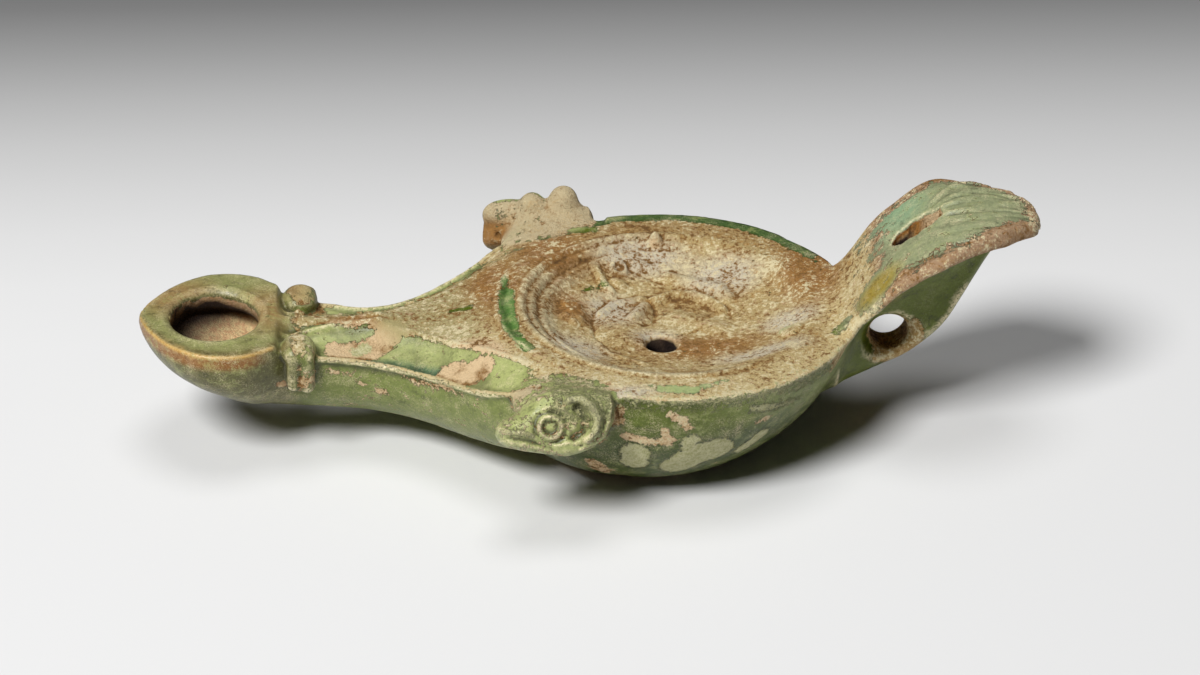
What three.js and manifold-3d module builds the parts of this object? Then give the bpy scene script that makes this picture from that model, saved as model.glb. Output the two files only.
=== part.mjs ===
// Roman oil lamp, mould-made and glazed: one hollow fired piece, in millimetres.
// +X runs from the bowl to the handle and +Z is up. Every form is modelled with z = 0 at the flat shoulder and
// the filling side's middle at x = y = 0. The whole is then set down on its foot, whose middle is the origin.
import * as THREE from "three";
import * as BufferGeometryUtils from "three/addons/utils/BufferGeometryUtils.js";
import Module from "manifold-3d";

const wasm = await Module();
wasm.setup();

// ---- driving sizes
const BODY_HEIGHT = 31.5;
const RIM_R = 42.8;
const FOOT_R = 20.5;
const FOOT_HEIGHT = 1.2;
const FOOT_X = -6.3;
const SHOULDER_TILT = 0.0257;
const WALL = 4.5;
const DISCUS_R = 26;
const DISCUS_DEPTH = 7;
const FILLING_HOLE = { x: -1.2, y: -6.5, r: 3.95 };
const WICK_HOLE = { x: -100.6, rx: 9.8, ry: 10.8 };
const PLATE_Z = -3.2;
const NOZZLE_TIP_X = -117.5;
const NECK_START_X = -87;
const NECK_END_X = -12;
const VOLUTE = { x: -82, y: 11.8, r: 4.3, topZ: -3.4, stubDrop: 11.5 };
const HEAD = { x: -25.6, y: 45, z: -4.1, shift: 0.5 };
const WEB_HALF = 5.3;
const LEAF_THICKNESS = 3.2;
const BORE = { x: 49.8, z: -5.2, r: 4.4 };
const SLOT = { fromX: 50.4, toX: 59.8, half: 1.9, depth: 9 };
const ROUND_STEPS = 40;
const HOLE_STEPS = 16;
const NECK_STATIONS = 16;

// ---- helpers

/** Value at x of a smooth curve through [x, value] points listed in rising x. */
function along(points, x) {
  const last = points.length - 1;
  const slope = (i) => {
    const a = points[Math.max(i - 1, 0)];
    const b = points[Math.min(i + 1, last)];
    return (b[1] - a[1]) / (b[0] - a[0]);
  };
  const clamped = THREE.MathUtils.clamp(x, points[0][0], points[last][0]);
  let i = 0;
  while (i < last - 1 && clamped > points[i + 1][0]) {
    i += 1;
  }
  const [x0, y0] = points[i];
  const [x1, y1] = points[i + 1];
  const span = x1 - x0;
  const t = (clamped - x0) / span;
  const bend0 = (2 * t - 3) * t * t + 1;
  const bend1 = ((t - 2) * t + 1) * t * span;
  const bend2 = (t - 1) * t * t * span;
  return bend0 * y0 + bend1 * slope(i) + (1 - bend0) * y1 + bend2 * slope(i + 1);
}

/** Evenly spaced numbers from a to b, both included. */
function spaced(a, b, count) {
  return Array.from({ length: count }, (_, i) => a + ((b - a) * i) / (count - 1));
}

/** A three.js geometry as a Manifold solid. */
function solid(geometry) {
  const bare = geometry.index ? geometry.clone() : BufferGeometryUtils.mergeVertices(geometry);
  bare.deleteAttribute("normal");
  bare.deleteAttribute("uv");
  const merged = BufferGeometryUtils.mergeVertices(bare, 1e-4);
  const index = merged.index.array;
  const triangles = [];
  for (let i = 0; i < index.length; i += 3) {
    const [a, b, c] = [index[i], index[i + 1], index[i + 2]];
    if (a !== b && b !== c && c !== a) {
      triangles.push(a, b, c);
    }
  }
  return new wasm.Manifold(new wasm.Mesh({
    numProp: 3,
    vertProperties: merged.attributes.position.array,
    triVerts: Uint32Array.from(triangles),
  }));
}

/** Closed skin through equal-length loops of points, each anticlockwise as seen from +X, in rising X. */
function loft(loops) {
  const count = loops[0].length;
  const positions = loops.flat().flatMap((point) => point.toArray());
  const indices = [];
  for (let s = 0; s + 1 < loops.length; s += 1) {
    for (let i = 0; i < count; i += 1) {
      const a = s * count + i;
      const b = s * count + ((i + 1) % count);
      indices.push(a, b, a + count, b, b + count, a + count);
    }
  }
  const cap = (loop, start, flip) => {
    const flat = loop.map((point) => new THREE.Vector2(point.y, point.z));
    for (const [a, b, c] of THREE.ShapeUtils.triangulateShape(flat, [])) {
      indices.push(start + a, start + (flip ? c : b), start + (flip ? b : c));
    }
  };
  cap(loops[0], 0, true);
  cap(loops[loops.length - 1], (loops.length - 1) * count, false);
  const geometry = new THREE.BufferGeometry();
  geometry.setAttribute("position", new THREE.Float32BufferAttribute(positions, 3));
  geometry.setIndex(indices);
  return solid(geometry);
}

/** A loop at one x from its right half, listed from the bottom middle to the top middle as [y, z]. */
function mirroredLoop(x, half) {
  const right = half.map(([y, z]) => new THREE.Vector3(x, y, z));
  const left = half.slice(1, -1).reverse().map(([y, z]) => new THREE.Vector3(x, -y, z));
  return [...right, ...left];
}

/** Solid of revolution about the vertical axis through (x, y), from [r, z] points listed from the bottom up. */
function turned(profile, steps, x = 0, y = 0) {
  const geometry = new THREE.LatheGeometry(profile.map(([r, z]) => new THREE.Vector2(r, z)), steps);
  geometry.rotateX(Math.PI / 2);
  geometry.translate(x, y, 0);
  return solid(geometry);
}

/** Ellipsoid with radii along its own axes, turned by the Euler angles and moved to its centre. */
function ellipsoid(centre, radii, angles = [0, 0, 0], around = 10) {
  const geometry = new THREE.SphereGeometry(1, around, around / 2);
  geometry.scale(...radii);
  const turn = new THREE.Matrix4().makeRotationFromEuler(new THREE.Euler(...angles));
  geometry.applyMatrix4(turn);
  geometry.translate(...centre);
  return solid(geometry);
}

/** Round bar of one radius along a smooth path. */
function bar(points, radius, steps) {
  const section = new THREE.Shape();
  section.absarc(0, 0, radius, 0, 2 * Math.PI);
  const path = new THREE.CatmullRomCurve3(points.map((point) => new THREE.Vector3(...point)));
  const settings = { steps, curveSegments: 3, bevelEnabled: false, extrudePath: path };
  return solid(new THREE.ExtrudeGeometry(section, settings));
}

/** All the solids joined. */
function joined(solids) {
  return solids.reduce((whole, next) => whole.add(next));
}

// ---- bowl, shoulder and discus

/** Outer side of the bowl as [r, z], from the foot to the rim. */
function bowlSide(steps) {
  const bottom = -BODY_HEIGHT + FOOT_HEIGHT;
  const bend = [[bottom, 24.2], [-26.8, 30.6], [-22, 35.2], [-16.3, 38.8], [-10.1, 41.1], [-4.5, 42.3],
    [-0.6, RIM_R]];
  return spaced(bottom, -0.6, steps).map((z) => [along(bend, z), z]);
}

/** The bowl leans: its foot lies nearer the nozzle than its rim does. */
function leaned(profile, steps) {
  const geometry = new THREE.LatheGeometry(profile.map(([r, z]) => new THREE.Vector2(r, z)), steps);
  geometry.rotateX(Math.PI / 2);
  const lean = new THREE.Matrix4();
  lean.elements[8] = -FOOT_X / BODY_HEIGHT;
  geometry.applyMatrix4(lean);
  return solid(geometry);
}

/** Mouldings between the shoulder and the discus as [r, z], from the outside in: stepped ridges and grooves. */
function mouldings() {
  const profile = [];
  for (let ring = 0; ring < 3; ring += 1) {
    const r = 33.2 - 2.4 * ring;
    const z = -0.2 - 0.75 * ring;
    profile.push([r, z], [r - 0.7, z - 0.9], [r - 1.6, z - 0.4]);
  }
  return profile;
}

/** Hollow floor of the discus as [r, z], from its edge to the middle. */
function discusFloor(steps) {
  const edgeZ = -3.2;
  const fall = DISCUS_DEPTH + edgeZ;
  return spaced(DISCUS_R, 0, steps).map((r) => {
    const out = r / DISCUS_R;
    return [r, edgeZ - fall * (1 - out ** 3)];
  });
}

function bowl() {
  const footZ = -BODY_HEIGHT - 1;
  const foot = [[0, footZ], [FOOT_R, footZ], [FOOT_R + 0.4, -BODY_HEIGHT + FOOT_HEIGHT]];
  const side = leaned([...foot, ...bowlSide(7), [RIM_R - 0.6, 0], [0, 0]], ROUND_STEPS);
  const well = turned([...discusFloor(4).reverse(), ...mouldings().reverse(), [33.8, 1], [0, 1]], ROUND_STEPS);
  return side.subtract(well);
}

/** Worn figure on the discus: a curled body with limbs, a round head and a small ring, all low and soft. */
function relief() {
  const floor = -6.6;
  const ring = (x, y, r) => spaced(0, 1.9 * Math.PI, 6).map((a) => [x + r * Math.cos(a), y + r * Math.sin(a), -5]);
  return joined([
    bar([[-16, 0, floor + 0.3], [-14.5, 7, floor + 0.7], [-8, 12.5, floor + 1], [1, 14.5, floor + 1.2],
      [10, 11.5, floor + 0.9]], 2, 7),
    ellipsoid([-6.7, 7.6, floor], [4.2, 2.4, 1.9], [0, 0, 0.5], 8),
    ellipsoid([4.5, 4.5, floor], [5.2, 3.1, 1.7], [0, 0, -0.7], 8),
    ellipsoid([-12.5, 17.3, floor + 1.1], [5, 2, 1.7], [0, 0, 0.3], 8),
    ellipsoid([-21, 3.2, floor + 2], [3, 3.6, 1.9], [0, 0, 0], 8),
    ellipsoid([8, 17.6, floor + 1.6], [6, 2.5, 1.5], [0, 0, -0.4], 8),
    bar([[11.7, -15, floor + 1.2], [12.6, -12.4, floor + 0.9], [14.6, -11, floor + 0.9],
      [15.8, -7.5, floor + 0.9]], 1.1, 4),
    bar(ring(-9.4, 23.6, 1.7), 0.6, 5),
    ellipsoid([-0.2, 30.4, -0.8], [1.6, 1.6, 1.7], [0, 0, 0], 8),
    ellipsoid([26.2, -8.3, -2.6], [2.4, 2.9, 1.7], [0, 0, 0.4], 8),
  ]);
}

// ---- nozzle

/** Height of the nozzle's flat top plate at x; it dips behind the volutes. */
function plateZ(x) {
  return PLATE_Z - 3 * THREE.MathUtils.smoothstep(x, -86, -79);
}

/** Half-width of the nozzle's flat top plate at x, an ogive with its point at the tip. */
function plateHalf(x) {
  return along([[NOZZLE_TIP_X, 0.3], [-116.6, 3.2], [-115, 6.8], [-112.5, 10.9], [-109, 14.8], [-104, 18.2],
    [-98.7, 19.3], [-93, 18.4], [-88.5, 15.6], [-84, 12.2]], x);
}

/** Lowest line of the nozzle and the neck at x. */
function keel(x) {
  return along([[NOZZLE_TIP_X, -5.4], [-116.5, -7.6], [-114.5, -10.6], [-111.6, -13.2], [-107, -16.2],
    [-101.4, -19.1], [-91.3, -22.9], [-80, -24.8], [-70, -25.7], [-58.6, -27], [-49.6, -28.4],
    [-35, -30.4], [-20, -31.4]], x);
}

/** Quarter of an ellipse from the keel to the side as [y, z]; full under 1 swells it. */
function flank(half, topZ, bottomZ, steps, full = 1) {
  return spaced(0, Math.PI / 2, steps).map((a) => {
    return [half * Math.sin(a) ** full, topZ - (topZ - bottomZ) * Math.cos(a) ** full];
  });
}

/** Nozzle head: the flat plate round the wick hole over a boat-shaped belly. */
function nozzleHead() {
  const stations = [NOZZLE_TIP_X, -116.9, -116, -114.5, -112.5, -110, -107, -103.5, -99.5, -95.5, -91.5, -88,
    -84.5, -80];
  return loft(stations.map((x) => {
    const half = plateHalf(x);
    const lip = Math.min(1.6, half * 0.4);
    const topZ = plateZ(x);
    const belly = flank(half - lip * 0.2, topZ - 2, keel(x), 6, 0.94);
    const edge = [[half, topZ - 1.1], [half - lip * 0.1, topZ - 0.2], [half - lip, topZ]];
    return mirroredLoop(x, [...belly, ...edge, [0, topZ]]);
  }));
}

/** Half-width of the raised middle of the neck, which widens into the shoulder. */
function platformHalf(x) {
  return along([[NECK_START_X, 0.9], [-74, 1], [-69, 1.2], [-63, 3], [-52.7, 8.8], [-41.2, 17.7], [-31.2, 26],
    [-18.4, 34], [NECK_END_X, 36]], x);
}

function platformZ(x) {
  return along([[NECK_START_X, -4], [-78, -4.6], [-71, -4.7], [-63, -4.2], [-52.7, -3.9], [-46, -2.9],
    [-41.2, -1.9], [-36, -1], [-28, -0.4], [NECK_END_X, 0.1]], x);
}

/** Half-width of the neck at its side ridge, which flares into the bowl's rim. */
function ridgeHalf(x) {
  return along([[NECK_START_X, 13], [-77, 12.5], [-68, 12.3], [-59.5, 15.1], [-51, 20.9], [-42, 29.3], [-36, 34.6],
    [-30, 37.6], [-22, 39.2], [NECK_END_X, 39.6]], x);
}

function ridgeZ(x) {
  return along([[NECK_START_X, -6.4], [-77, -6.9], [-68, -7.9], [-59.5, -8.1], [-51, -7.4], [-42, -5.7],
    [-36, -3], [-30, -1.2], [-22, -0.2], [NECK_END_X, 0.1]], x);
}

/** Upper side of the neck as [y, z], from the side to the middle: a round ridge, a hollow band, a raised middle. */
function neckTop(x) {
  const middle = platformHalf(x);
  const middleZ = platformZ(x);
  const side = ridgeHalf(x);
  const sideZ = ridgeZ(x);
  const band = side - middle;
  const fade = THREE.MathUtils.clamp((-28 - x) / 12, 0, 1);
  const sag = 1.4 * fade;
  return [
    [side + 0.5, sideZ - 1.2],
    [side + 0.1, sideZ - 0.2],
    [side - Math.min(0.9, 0.15 * band), sideZ],
    [side - 0.24 * band, sideZ - 0.5 * sag],
    [middle + 0.45 * band, (middleZ + sideZ) / 2 - sag],
    [middle + 0.14 * band, middleZ - 0.9 * sag],
    [middle, middleZ - 0.1],
    [middle * 0.55, middleZ + 0.3 * fade],
    [0, middleZ + 0.5 * fade],
  ];
}

/** Neck: the bridge from the nozzle to the bowl, over a rounded keel. */
function neck() {
  return loft(spaced(NECK_START_X, NECK_END_X, NECK_STATIONS).map((x) => {
    const full = 1 + 0.7 * (1 - THREE.MathUtils.clamp((-30 - x) / 14, 0, 1));
    return mirroredLoop(x, [...flank(ridgeHalf(x) - 0.5, ridgeZ(x) - 3, keel(x), 6, full), ...neckTop(x)]);
  })).subtract(turned([[0, -14], [37.8, -14], [37.8, 5], [0, 5]], ROUND_STEPS));
}

/** What lies above the neck, so that the bowl's rim can be cut down to meet it. */
function overNeck() {
  const above = loft(spaced(NECK_START_X, NECK_END_X, NECK_STATIONS).map((x) => {
    const under = neckTop(x).slice(1).reverse();
    return mirroredLoop(x, [...under, [ridgeHalf(x) + 4, under[under.length - 1][1]], [ridgeHalf(x) + 4, 6], [0, 6]]);
  }));
  return above.subtract(turned([[0, -14], [38, -14], [38, 8], [0, 8]], ROUND_STEPS));
}

/** Volute: a rolled knob on top of a short fluted stub down the nozzle's side. */
function volute(side) {
  const { x, y, r, topZ, stubDrop } = VOLUTE;
  const knob = [[0, topZ - 7], [r, topZ - 7], [r, topZ - 1], [r - 1, topZ], [1.6, topZ - 0.7], [0, topZ - 0.2]];
  const stubs = [-2.3, 2.2].map((shift) => {
    const stub = [[0, topZ - stubDrop], [1.9, topZ - stubDrop], [2.4, topZ - stubDrop + 1], [2.4, topZ - 2],
      [0, topZ - 2]];
    return turned(stub, 8, x + shift, side * (y + 2.6));
  });
  const scroll = spaced(-0.3, 2.6, 6).map((a) => {
    return [x + 4.4 * Math.cos(a), side * (y - 4.4 * Math.sin(a)), topZ - 1.6];
  });
  return joined([turned(knob, 12, x, side * y), ...stubs, bar(scroll, 1.1, 5)]);
}

// ---- animal-head lugs

/** Animal head facing the nozzle, grown out of the rim on one side; the two are not quite level with each other. */
function head(side) {
  const at = (dx, dy, dz) => [HEAD.x + dx - side * HEAD.shift, side * (HEAD.y + dy), HEAD.z + dz];
  return joined([
    ellipsoid(at(1, -2, 0.4), [9.4, 7.2, 8]),
    ellipsoid(at(1, -7.5, -0.6), [11, 9, 5], [side * 0.2, 0, 0]),
    ellipsoid(at(-8, 0.2, -1), [8, 4.6, 5.5]),
    ellipsoid(at(-11.8, 0.3, -0.9), [3.9, 4, 4.9], [0, 0, 0], 8),
    ellipsoid(at(-5, 0, -5), [8, 4.2, 3], [0, 0.1, 0], 8),
    ellipsoid(at(-1.6, 4, -0.4), [2.9, 1.6, 2.9], [0, 0, 0], 8),
    ellipsoid(at(-2.6, 1.4, 5.2), [3.4, 3.8, 3], [0, 0, 0], 8),
    bar([at(2.6, 4.2, 4.8), at(6, 4.4, 4.6), at(8.2, 3.8, 1.2), at(8, 3.4, -2.6), at(5, 3.6, -4.6)], 2.1, 6),
    ellipsoid(at(4.2, 1.6, 6.6), [3.2, 3.4, 3.6], [0, -0.3, 0], 8),
    ellipsoid(at(9.8, -4, -0.6), [1.9, 6, 7.4], [0, -0.15, 0], 8),
  ]);
}

// ---- handle

/** Upper face of the handle's leaf along its middle. */
function leafMid(x) {
  return along([[29, -3.2], [34.5, -0.9], [39.5, 3.2], [45.6, 10.9], [50, 16], [58.7, 22.8], [65, 25.1], [72, 25.5],
    [78, 24.7], [80.8, 23.8], [82.6, 22.2]], x);
}

function leafHalf(x) {
  return along([[29, 13], [34.5, 14.6], [39.3, 15.3], [42, 15.2], [45.9, 16.4], [52, 17.6], [59.4, 19.3],
    [63.8, 17.7], [68, 15.4], [73, 12.4], [76, 10.3], [79.8, 7.6], [81.5, 5.4], [82.6, 2.8]], x);
}

/** How far the leaf's edges hang below its middle rib. */
function leafDroop(x) {
  return along([[29, 0.2], [45.9, 0.6], [59.4, 1.4], [68, 2.3], [76, 1.8], [82.6, 0.8]], x);
}

/** Depth of the fan of grooves that runs from the slot to the scalloped tip. */
function leafGroove(x, across) {
  const grown = THREE.MathUtils.smoothstep(x, 59, 66);
  return 0.7 * grown * (0.5 + 0.5 * Math.cos(7 * Math.PI * Math.abs(across) ** 0.8));
}

function leaf() {
  const stations = [29, 34, 38, 42, 46, 50, 54, 58.5, 62, 65.5, 69, 72.5, 75.5, 78.5, 80.8, 82.6];
  const across = spaced(-1, 1, 11);
  return loft(stations.map((x) => {
    const half = leafHalf(x);
    const climb = Math.max(0, leafMid(x + 0.5) - leafMid(x - 0.5));
    const thick = Math.min(LEAF_THICKNESS * Math.hypot(1, climb), 4.2);
    const middleZ = (v) => leafMid(x) - leafDroop(x) * v ** 2;
    const top = across.map((v) => new THREE.Vector3(x, v * half * 0.96, middleZ(v) - leafGroove(x, v)));
    const under = across.map((v) => new THREE.Vector3(x, v * half * 0.95, middleZ(v) - thick));
    const edge = [0.75, 0.3].map((share) => [half, middleZ(1) - share * thick]);
    const right = edge.map(([y, z]) => new THREE.Vector3(x, y, z));
    const left = edge.map(([y, z]) => new THREE.Vector3(x, -y, z)).reverse();
    return [...under, ...right, ...top.reverse(), ...left];
  }));
}

/** Lowest line of the upright web under the leaf. */
function webKeel(x) {
  return along([[30, -21.8], [35, -20.2], [41.7, -17.9], [48.3, -15], [52.7, -12.9], [57, -9.8], [62.2, -4.2],
    [66.2, 3.5], [70.1, 11.1], [73.1, 16.2], [76, 18.4]], x);
}

/** Upright web of the handle: narrow at the bore, spreading into the bowl and into the leaf. */
function web() {
  const stations = [30, 34, 38, 42, 46, 50, 54, 58, 61.5, 64.5, 67.5, 70.5, 73.5, 76];
  return loft(stations.map((x) => {
    const root = 7 * Math.exp(-Math.max(x - 38, 0) / 5);
    const half = (WEB_HALF + root) * Math.min(1, 0.5 + (76 - x) / 20);
    const bottom = webKeel(x);
    const top = leafMid(x) - LEAF_THICKNESS * 0.7;
    const tall = top - bottom;
    const bend = Math.min(half, tall * 0.5);
    const rise = tall - bend;
    const droop = Math.min(leafDroop(x) * 0.8, rise * 0.1);
    const spread = (share) => half + Math.max(0, leafHalf(x) - half - 3) * share ** 3;
    return mirroredLoop(x, [
      ...flank(half, bottom + bend, bottom, 5),
      [spread(0.3), bottom + bend + rise * 0.35],
      [spread(0.55), bottom + bend + rise * 0.62],
      [spread(0.78), bottom + bend + rise * 0.84],
      [spread(0.95), top - droop],
      [0, top],
    ]);
  }));
}

// ---- hollows and holes

/** Oil chamber inside the bowl, with a wall of true thickness all round. */
function chamber() {
  const side = bowlSide(7).slice(1).filter(([, z]) => z < -WALL - 0.5).map(([r, z]) => [r - WALL, z]);
  const floorZ = -BODY_HEIGHT + WALL;
  const inner = side.filter(([, z]) => z > floorZ + 0.8);
  const roof = [[RIM_R - WALL - 0.6, -WALL - 1.2], [33, -WALL - 0.4], [DISCUS_R, -WALL - 3.4],
    [DISCUS_R * 0.6, -WALL - DISCUS_DEPTH + 0.9], [0, -WALL - DISCUS_DEPTH]];
  return leaned([[0, floorZ], [inner[0][0] - 5, floorZ], ...inner, ...roof], HOLE_STEPS);
}

/** Channel from the oil chamber through the neck to the space under the wick hole. */
function channel() {
  const half = [[-109.5, 3.5], [-106, 9.5], [-101, 13.2], [-95, 13.6], [-88, 11.4], [-80, 8.8], [-70, 7.8],
    [-60, 10], [-50, 15], [-40, 21], [-30, 24]];
  const roof = [[-109.5, -8.6], [-106, -7.6], [-95, -7.2], [-85, -8.6], [-70, -10], [-50, -9.8], [-30, -7]];
  const floor = [[-109.5, -10.4], [-106, -12.6], [-101, -15.2], [-91, -18.8], [-80, -20.6], [-60, -22.6],
    [-45, -24.6], [-30, -26]];
  return loft([-109.5, -107.5, -104, -99, -93, -86, -78, -70, -62, -54, -46, -38, -30].map((x) => {
    const low = along(floor, x);
    const high = along(roof, x);
    const wide = along(half, x);
    const middle = (low + high) / 2;
    const loop = spaced(-Math.PI / 2, Math.PI / 2, 9).map((a) => {
      return [Math.max(0, wide * Math.cos(a)) ** 1, middle + (high - middle) * Math.sin(a)];
    });
    return mirroredLoop(x, loop);
  }));
}

function wickHole() {
  const { x, rx, ry } = WICK_HOLE;
  const lip = 1.3;
  const profile = [[0, -11], [1, -11], [1, PLATE_Z - lip], [1 + 0.3 * lip / rx, PLATE_Z - 0.4],
    [1 + lip / rx, PLATE_Z + 0.2], [1 + lip / rx, PLATE_Z + 2], [0, PLATE_Z + 2]];
  const geometry = new THREE.LatheGeometry(profile.map(([r, z]) => new THREE.Vector2(r, z)), HOLE_STEPS + 6);
  geometry.rotateX(Math.PI / 2);
  geometry.scale(rx, ry, 1);
  geometry.translate(x, 0, 0);
  return solid(geometry);
}

function fillingHole() {
  const { x, y, r } = FILLING_HOLE;
  return turned([[0, -16], [r, -16], [r, -7.2], [r + 0.5, -6.4], [r + 0.5, 0], [0, 0]], HOLE_STEPS, x, y);
}

/** Finger hole through the web, a little wider at both faces. */
function fingerBore() {
  const reach = 12;
  const wide = BORE.r + 1.2;
  const profile = [[0, -reach], [wide + 3, -reach], [wide, -WEB_HALF - 0.2], [BORE.r, -WEB_HALF + 1.6],
    [BORE.r, WEB_HALF - 1.6], [wide, WEB_HALF + 0.2], [wide + 3, reach], [0, reach]];
  const geometry = new THREE.LatheGeometry(profile.map(([r, z]) => new THREE.Vector2(r, z)), HOLE_STEPS);
  geometry.translate(BORE.x, 0, BORE.z);
  return solid(geometry);
}

/** Broken slot along the leaf's middle rib, down into the web. */
function slot() {
  const { fromX, toX, half, depth } = SLOT;
  return loft(spaced(fromX, toX, 6).map((x, i) => {
    const wide = half * [0.55, 0.95, 1, 1, 0.9, 0.5][i];
    const top = leafMid(x) + 4;
    const bottom = leafMid(x) - depth * [0.7, 0.95, 1, 0.95, 0.75, 0.5][i];
    return mirroredLoop(x, [[0, bottom], [wide * 0.8, bottom + 0.6], [wide, bottom + 2], [wide, top], [0, top]]);
  }));
}

// ---- the lamp

/** A Manifold solid as a three.js geometry. */
function geometryOf(shape) {
  const { vertProperties, triVerts } = shape.getMesh();
  const geometry = new THREE.BufferGeometry();
  geometry.setAttribute("position", new THREE.Float32BufferAttribute(vertProperties, 3));
  geometry.setIndex(new THREE.Uint32BufferAttribute(triVerts, 1));
  return geometry;
}

/** The lamp set down: the shoulder tilts a little towards the handle and the foot is ground flat at z = 0. */
function setDown(shape) {
  const geometry = geometryOf(shape);
  geometry.translate(-FOOT_X, 0, 0);
  geometry.rotateY(SHOULDER_TILT);
  geometry.translate(BODY_HEIGHT * Math.sin(SHOULDER_TILT), 0, BODY_HEIGHT);
  const ground = new THREE.BoxGeometry(4 * RIM_R, 4 * RIM_R, 10);
  ground.translate(0, 0, -5);
  return solid(geometry).subtract(solid(ground));
}

function lamp() {
  const body = bowl().subtract(overNeck());
  const outside = joined([body, relief(), nozzleHead(), neck(), volute(1), volute(-1), head(1), head(-1), leaf(),
    web()]);
  const hollows = [chamber(), channel(), wickHole(), fillingHole(), fingerBore(), slot()];
  const geometry = geometryOf(setDown(hollows.reduce((left, hollow) => left.subtract(hollow), outside)));
  geometry.computeVertexNormals();
  const glaze = new THREE.MeshStandardMaterial({ color: 0x6f8558, roughness: 0.45, metalness: 0 });
  const mesh = new THREE.Mesh(geometry, glaze);
  mesh.name = "lamp";
  return mesh;
}

const part = new THREE.Group();
part.add(lamp());

export default part;
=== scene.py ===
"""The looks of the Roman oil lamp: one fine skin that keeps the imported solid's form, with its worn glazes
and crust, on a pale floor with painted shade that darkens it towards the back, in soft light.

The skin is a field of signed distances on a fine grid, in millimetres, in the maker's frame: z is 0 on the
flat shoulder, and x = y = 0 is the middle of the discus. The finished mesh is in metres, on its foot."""

import math
from functools import partial
from itertools import combinations, product

import bpy
import numpy as np
from mathutils import Matrix, Vector


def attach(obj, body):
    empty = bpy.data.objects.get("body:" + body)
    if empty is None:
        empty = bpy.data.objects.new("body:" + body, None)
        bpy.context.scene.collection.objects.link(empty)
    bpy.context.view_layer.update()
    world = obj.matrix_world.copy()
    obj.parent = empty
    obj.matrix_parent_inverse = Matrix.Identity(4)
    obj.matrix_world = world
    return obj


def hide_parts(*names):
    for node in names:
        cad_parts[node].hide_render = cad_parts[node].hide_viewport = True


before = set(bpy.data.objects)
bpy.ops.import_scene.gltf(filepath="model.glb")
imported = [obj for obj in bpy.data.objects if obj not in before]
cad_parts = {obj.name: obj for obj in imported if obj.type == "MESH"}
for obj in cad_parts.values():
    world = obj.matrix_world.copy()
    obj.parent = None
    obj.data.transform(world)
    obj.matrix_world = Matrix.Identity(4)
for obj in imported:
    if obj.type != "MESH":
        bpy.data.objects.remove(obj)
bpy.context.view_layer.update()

# ---- driving sizes in millimetres, the same as the solid's

BODY_HEIGHT = 31.5
RIM_R = 42.8
FOOT_R = 20.5
FOOT_HEIGHT = 1.2
FOOT_X = -6.3
SHOULDER_TILT = 0.0257
WALL = 4.5
DISCUS_R = 26.0
DISCUS_DEPTH = 7.0
GROOVE_R = 36.8
FILLING_HOLE = (-1.2, -6.5, 3.4)  # x, y, radius
WICK_HOLE = (-100.6, 9.8, 10.8)  # x, radius along the lamp, radius across it
PLATE_Z = -3.2
NOZZLE_TIP_X = -117.4
NECK_START_X = -87.0
NECK_END_X = -12.0
VOLUTE = (-82.0, 11.8, 4.2)  # x, y, radius
VOLUTE_TOP = -3.4
VOLUTE_DROP = 11.5
HEAD = (-25.6, 45.0, -4.1)  # x, y, z
HEAD_SHIFT = 0.5
WEB_HALF = 5.3
LEAF_THICKNESS = 3.2
LEAF_END_X = 82.6
HIGHEST = 54.4  # above the foot
BORE = (49.8, -5.2, 4.4)  # x, z, radius
SLOT = (49.9, 60.5, 2.5, 9.0)  # start, end, half width, depth

GRID_STEP = 0.5
GRID_LOW = (-119.0, -53.5, -33.5)
GRID_HIGH = (84.5, 53.5, 27.5)
SKIN_TRIANGLES = 190000
UNEVENNESS = [(0.16, 9, 3), (0.08, 3.5, 5)]  # height, size and seed of the lumps all over the clay

TILT_COS = math.cos(SHOULDER_TILT)
TILT_SIN = math.sin(SHOULDER_TILT)

# ---- helpers for curves, joins and noise


def curve(*points):
    """A smooth curve through (x, value) points listed in rising x, as a function of x."""
    xs, ys = (np.array(column, dtype=float) for column in zip(*points))
    slopes = np.gradient(ys, xs)
    slopes[1:-1] = (ys[2:] - ys[:-2]) / (xs[2:] - xs[:-2])

    def value(x):
        x = np.clip(x, xs[0], xs[-1])
        i = np.clip(np.searchsorted(xs, x) - 1, 0, len(xs) - 2)
        span = xs[i + 1] - xs[i]
        t = (x - xs[i]) / span
        start = (2 * t - 3) * t * t + 1
        bend = ((t - 2) * t + 1) * t * span * slopes[i] + (t - 1) * t * t * span * slopes[i + 1]
        return start * ys[i] + (1 - start) * ys[i + 1] + bend

    return value


def rise(x, low, high):
    """0 below low, 1 above high and smooth between them."""
    t = np.clip((x - low) / (high - low), 0.0, 1.0)
    return t * t * (3 - 2 * t)


def fall(x, low, high):
    """The reverse: 1 below low and 0 above high."""
    return 1 - rise(x, low, high)


def highest(*values):
    """The highest of several fields at each place."""
    return np.maximum.reduce(values)


def bump(distance, width):
    """1 in the middle, falling smoothly to 0 at the width."""
    return np.clip(1 - (distance / width) ** 2, 0.0, 1.0) ** 2


def either(a, b, fillet):
    """Union of two fields with a fillet."""
    h = np.clip(0.5 + 0.5 * (b - a) / fillet, 0.0, 1.0)
    return b + (a - b) * h - fillet * h * (1 - h)


def both(a, b, round_off):
    """Intersection of two fields with a rounded edge."""
    return -either(-a, -b, round_off)


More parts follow.
